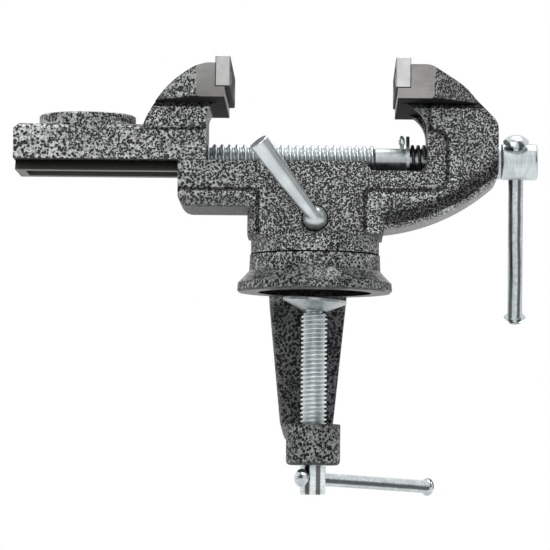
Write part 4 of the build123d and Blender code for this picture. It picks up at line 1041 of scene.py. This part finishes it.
# --- stage --------------------------------------------------------------------------
def camera():
    data = bpy.data.cameras.new("camera")
    data.sensor_width = SENSOR
    data.lens = PHOTO_FOCAL / PHOTO_SIZE * SENSOR
    data.clip_end = CLIP_END
    made = bpy.data.objects.new("camera", data)
    aim = Vector(CAMERA_AIM).to_track_quat("-Z", "Y")
    roll = Euler((0, 0, math.radians(CAMERA_ROLL))).to_quaternion()
    made.rotation_mode = "QUATERNION"
    made.rotation_quaternion = aim @ roll
    made.location = CAMERA_PLACE
    bpy.context.scene.collection.objects.link(made)
    bpy.context.scene.camera = made


def floor():
    data = bpy.data.meshes.new("floor")
    half = FLOOR_SIZE / 2
    corners = [(-half, -half), (half, -half), (half, half), (-half, half)]
    data.from_pydata([(x, y, FLOOR_HEIGHT) for x, y in corners], [], [(0, 1, 2, 3)])
    made = bpy.data.objects.new("floor", data)
    bpy.context.scene.collection.objects.link(made)
    shader = Shader("floor_pale")
    shader.set(colour=grey(FLOOR_TONE), roughness=0.9, specular=0.1)
    dress(made, shader.material)


def area_light(name, place, size, power):
    data = bpy.data.lights.new(name, "AREA")
    data.shape = "RECTANGLE"
    data.size, data.size_y = size
    data.energy = power
    made = bpy.data.objects.new(name, data)
    made.location = place
    towards = Vector(LIGHT_AIM) - Vector(place)
    made.rotation_euler = towards.to_track_quat("-Z", "Y").to_euler()
    bpy.context.scene.collection.objects.link(made)


def room_darkness(sky, x, y, z):
    """How dark the room is in a direction: dark behind the camera and beside the
    vise, with a bright window that reaches down to the horizon."""
    towards_camera = sky.math("MULTIPLY", y, -1.0)
    azimuth = sky.math("ARCTAN2", x, towards_camera)
    low, high, soft = (math.radians(angle) for angle in (*WINDOW, WINDOW_SOFT))
    upright = sky.ramp(z, *WINDOW_FOOT, start=WINDOW_LOW, end=1.0)
    window = sky.product(sky.band(azimuth, low, high, soft), upright)
    near, far = (math.cos(math.radians(angle)) for angle in DARK_BEHIND)
    behind = sky.ramp(towards_camera, far, near)
    near, far = (math.radians(angle) for angle in DARK_BESIDE)
    beside = sky.product(
        sky.ramp(sky.math("ABSOLUTE", azimuth), near, far, start=1.0, end=0.0),
        sky.ramp(sky.math("ABSOLUTE", z), *HORIZON, start=1.0, end=0.0),
    )
    return sky.product(sky.math("MAXIMUM", behind, beside), sky.inverse(window))


def studio():
    """A white room with dark gaps between its lamps, which bright metal mirrors."""
    world = bpy.data.worlds.new("studio")
    bpy.context.scene.world = world
    world.use_nodes = True
    sky = Nodes(world.node_tree)
    direction = sky.node("ShaderNodeTexCoord").outputs["Generated"]
    dark = room_darkness(sky, *sky.parts(direction))
    level = sky.ramp(dark, 0.0, 1.0, start=1.0, end=DARKEST)
    tone = sky.node("ShaderNodeCombineXYZ", {"X": level, "Y": level, "Z": level})
    background = sky.node("ShaderNodeBackground", {"Color": tone.outputs[0], "Strength": 1.0})
    sky.node("ShaderNodeOutputWorld", {"Surface": background.outputs[0]})
    area_light("key", place=(-0.5, -0.9, 1.1), size=(0.7, 0.5), power=7.0)
    area_light("top", place=(0.2, 0.2, 1.2), size=(0.9, 0.6), power=5.0)


# --- the piece by piece finish ------------------------------------------------------
def casting_finishes():
    return {
        "base_casting": casting_paint(
            "paint_base", base_cells, base_tone,
            painted_shade=[(hollow, 0.93), (joint_line, 1.0), (arm_shade, 0.62)],
            # The flange's faced underside is painted dark, as shade.
            bare=[(flange_ring, 0.13)],
        ),
        "body_casting": casting_paint(
            "paint_body", body_cells, body_tone,
            painted_shade=[
                (band_edge, 0.72), (belly, 1.0), (head_underside, 0.9), (joint_line, 1.0),
                (lock_ring, 0.95),
            ],
            bare=[(jaw_fronts, 0.10), (jaw_sides, 0.36)],
            oiled=[(slide_floor, 0.012)],
        ),
        "moving_jaw_casting": casting_paint(
            "paint_moving", bar_cells, bar_tone,
            painted_shade=[(head_underside, 0.9), (neck_line, 0.8)],
            bare=[(jaw_fronts, 0.10), (jaw_sides, moving_side_light), (anvil_top, 0.35)],
            oiled=[(rail, rail_light)],
        ),
    }


def metal_finishes():
    turned = zinc("zinc_turned", rough=0.30, tone=0.74, stretch=TURNED_ON_X)
    stud = black_steel("stud_steel", tone=0.05)
    finishes = {
        "clamp_pad": zinc("zinc_pad", rough=0.3, tone=0.62, stretch=FACED),
        "clamp_handle_bar": zinc(
            "zinc_clamp_bar", rough=0.17, tone=0.72, stretch=DRAWN, dark=clamp_reflection_bands
        ),
        "lead_handle_bar": zinc(
            "zinc_lead_bar", rough=0.17, tone=0.72, stretch=DRAWN, dark=lead_reflection_bands
        ),
        "thrust_collar": turned,
        "spring_seat_washer": turned,
        "split_pin": turned,
        # The fixed plate is painted lighter than the moving one, as light and shade.
        "fixed_jaw_plate": ground_steel("fixed_plate", tone=1.1),
        "moving_jaw_plate": ground_steel("moving_plate", tone=0.86),
        "lead_spring": black_steel("black_steel", tone=0.07),
        "lock_stud": stud,
        "lock_lever": die_cast("lever_satin"),
    }
    for jaw in ("fixed", "moving"):
        for side in ("front", "back"):
            finishes[f"{jaw}_jaw_screw_{side}"] = stud
    return finishes


def finish_nodes():
    for node, material in {**casting_finishes(), **metal_finishes()}.items():
        dress(NODES[node], material)
        smooth(NODES[node])
    # The two threads' tones paint light and shade: the clamp screw's is made brighter than the
    # lead screw's.
    threaded_lead_screw(
        zinc("zinc_lead", rough=0.3, tone=0.78, stretch=TURNED_ON_X, shade=lead_roots)
    )
    threaded_clamp_screw(
        zinc("zinc_clamp", rough=0.34, tone=1.0, stretch=TURNED_ON_Z, shade=clamp_roots)
    )


bpy.context.scene.view_settings.view_transform = "Standard"
camera()
floor()
studio()
finish_nodes()
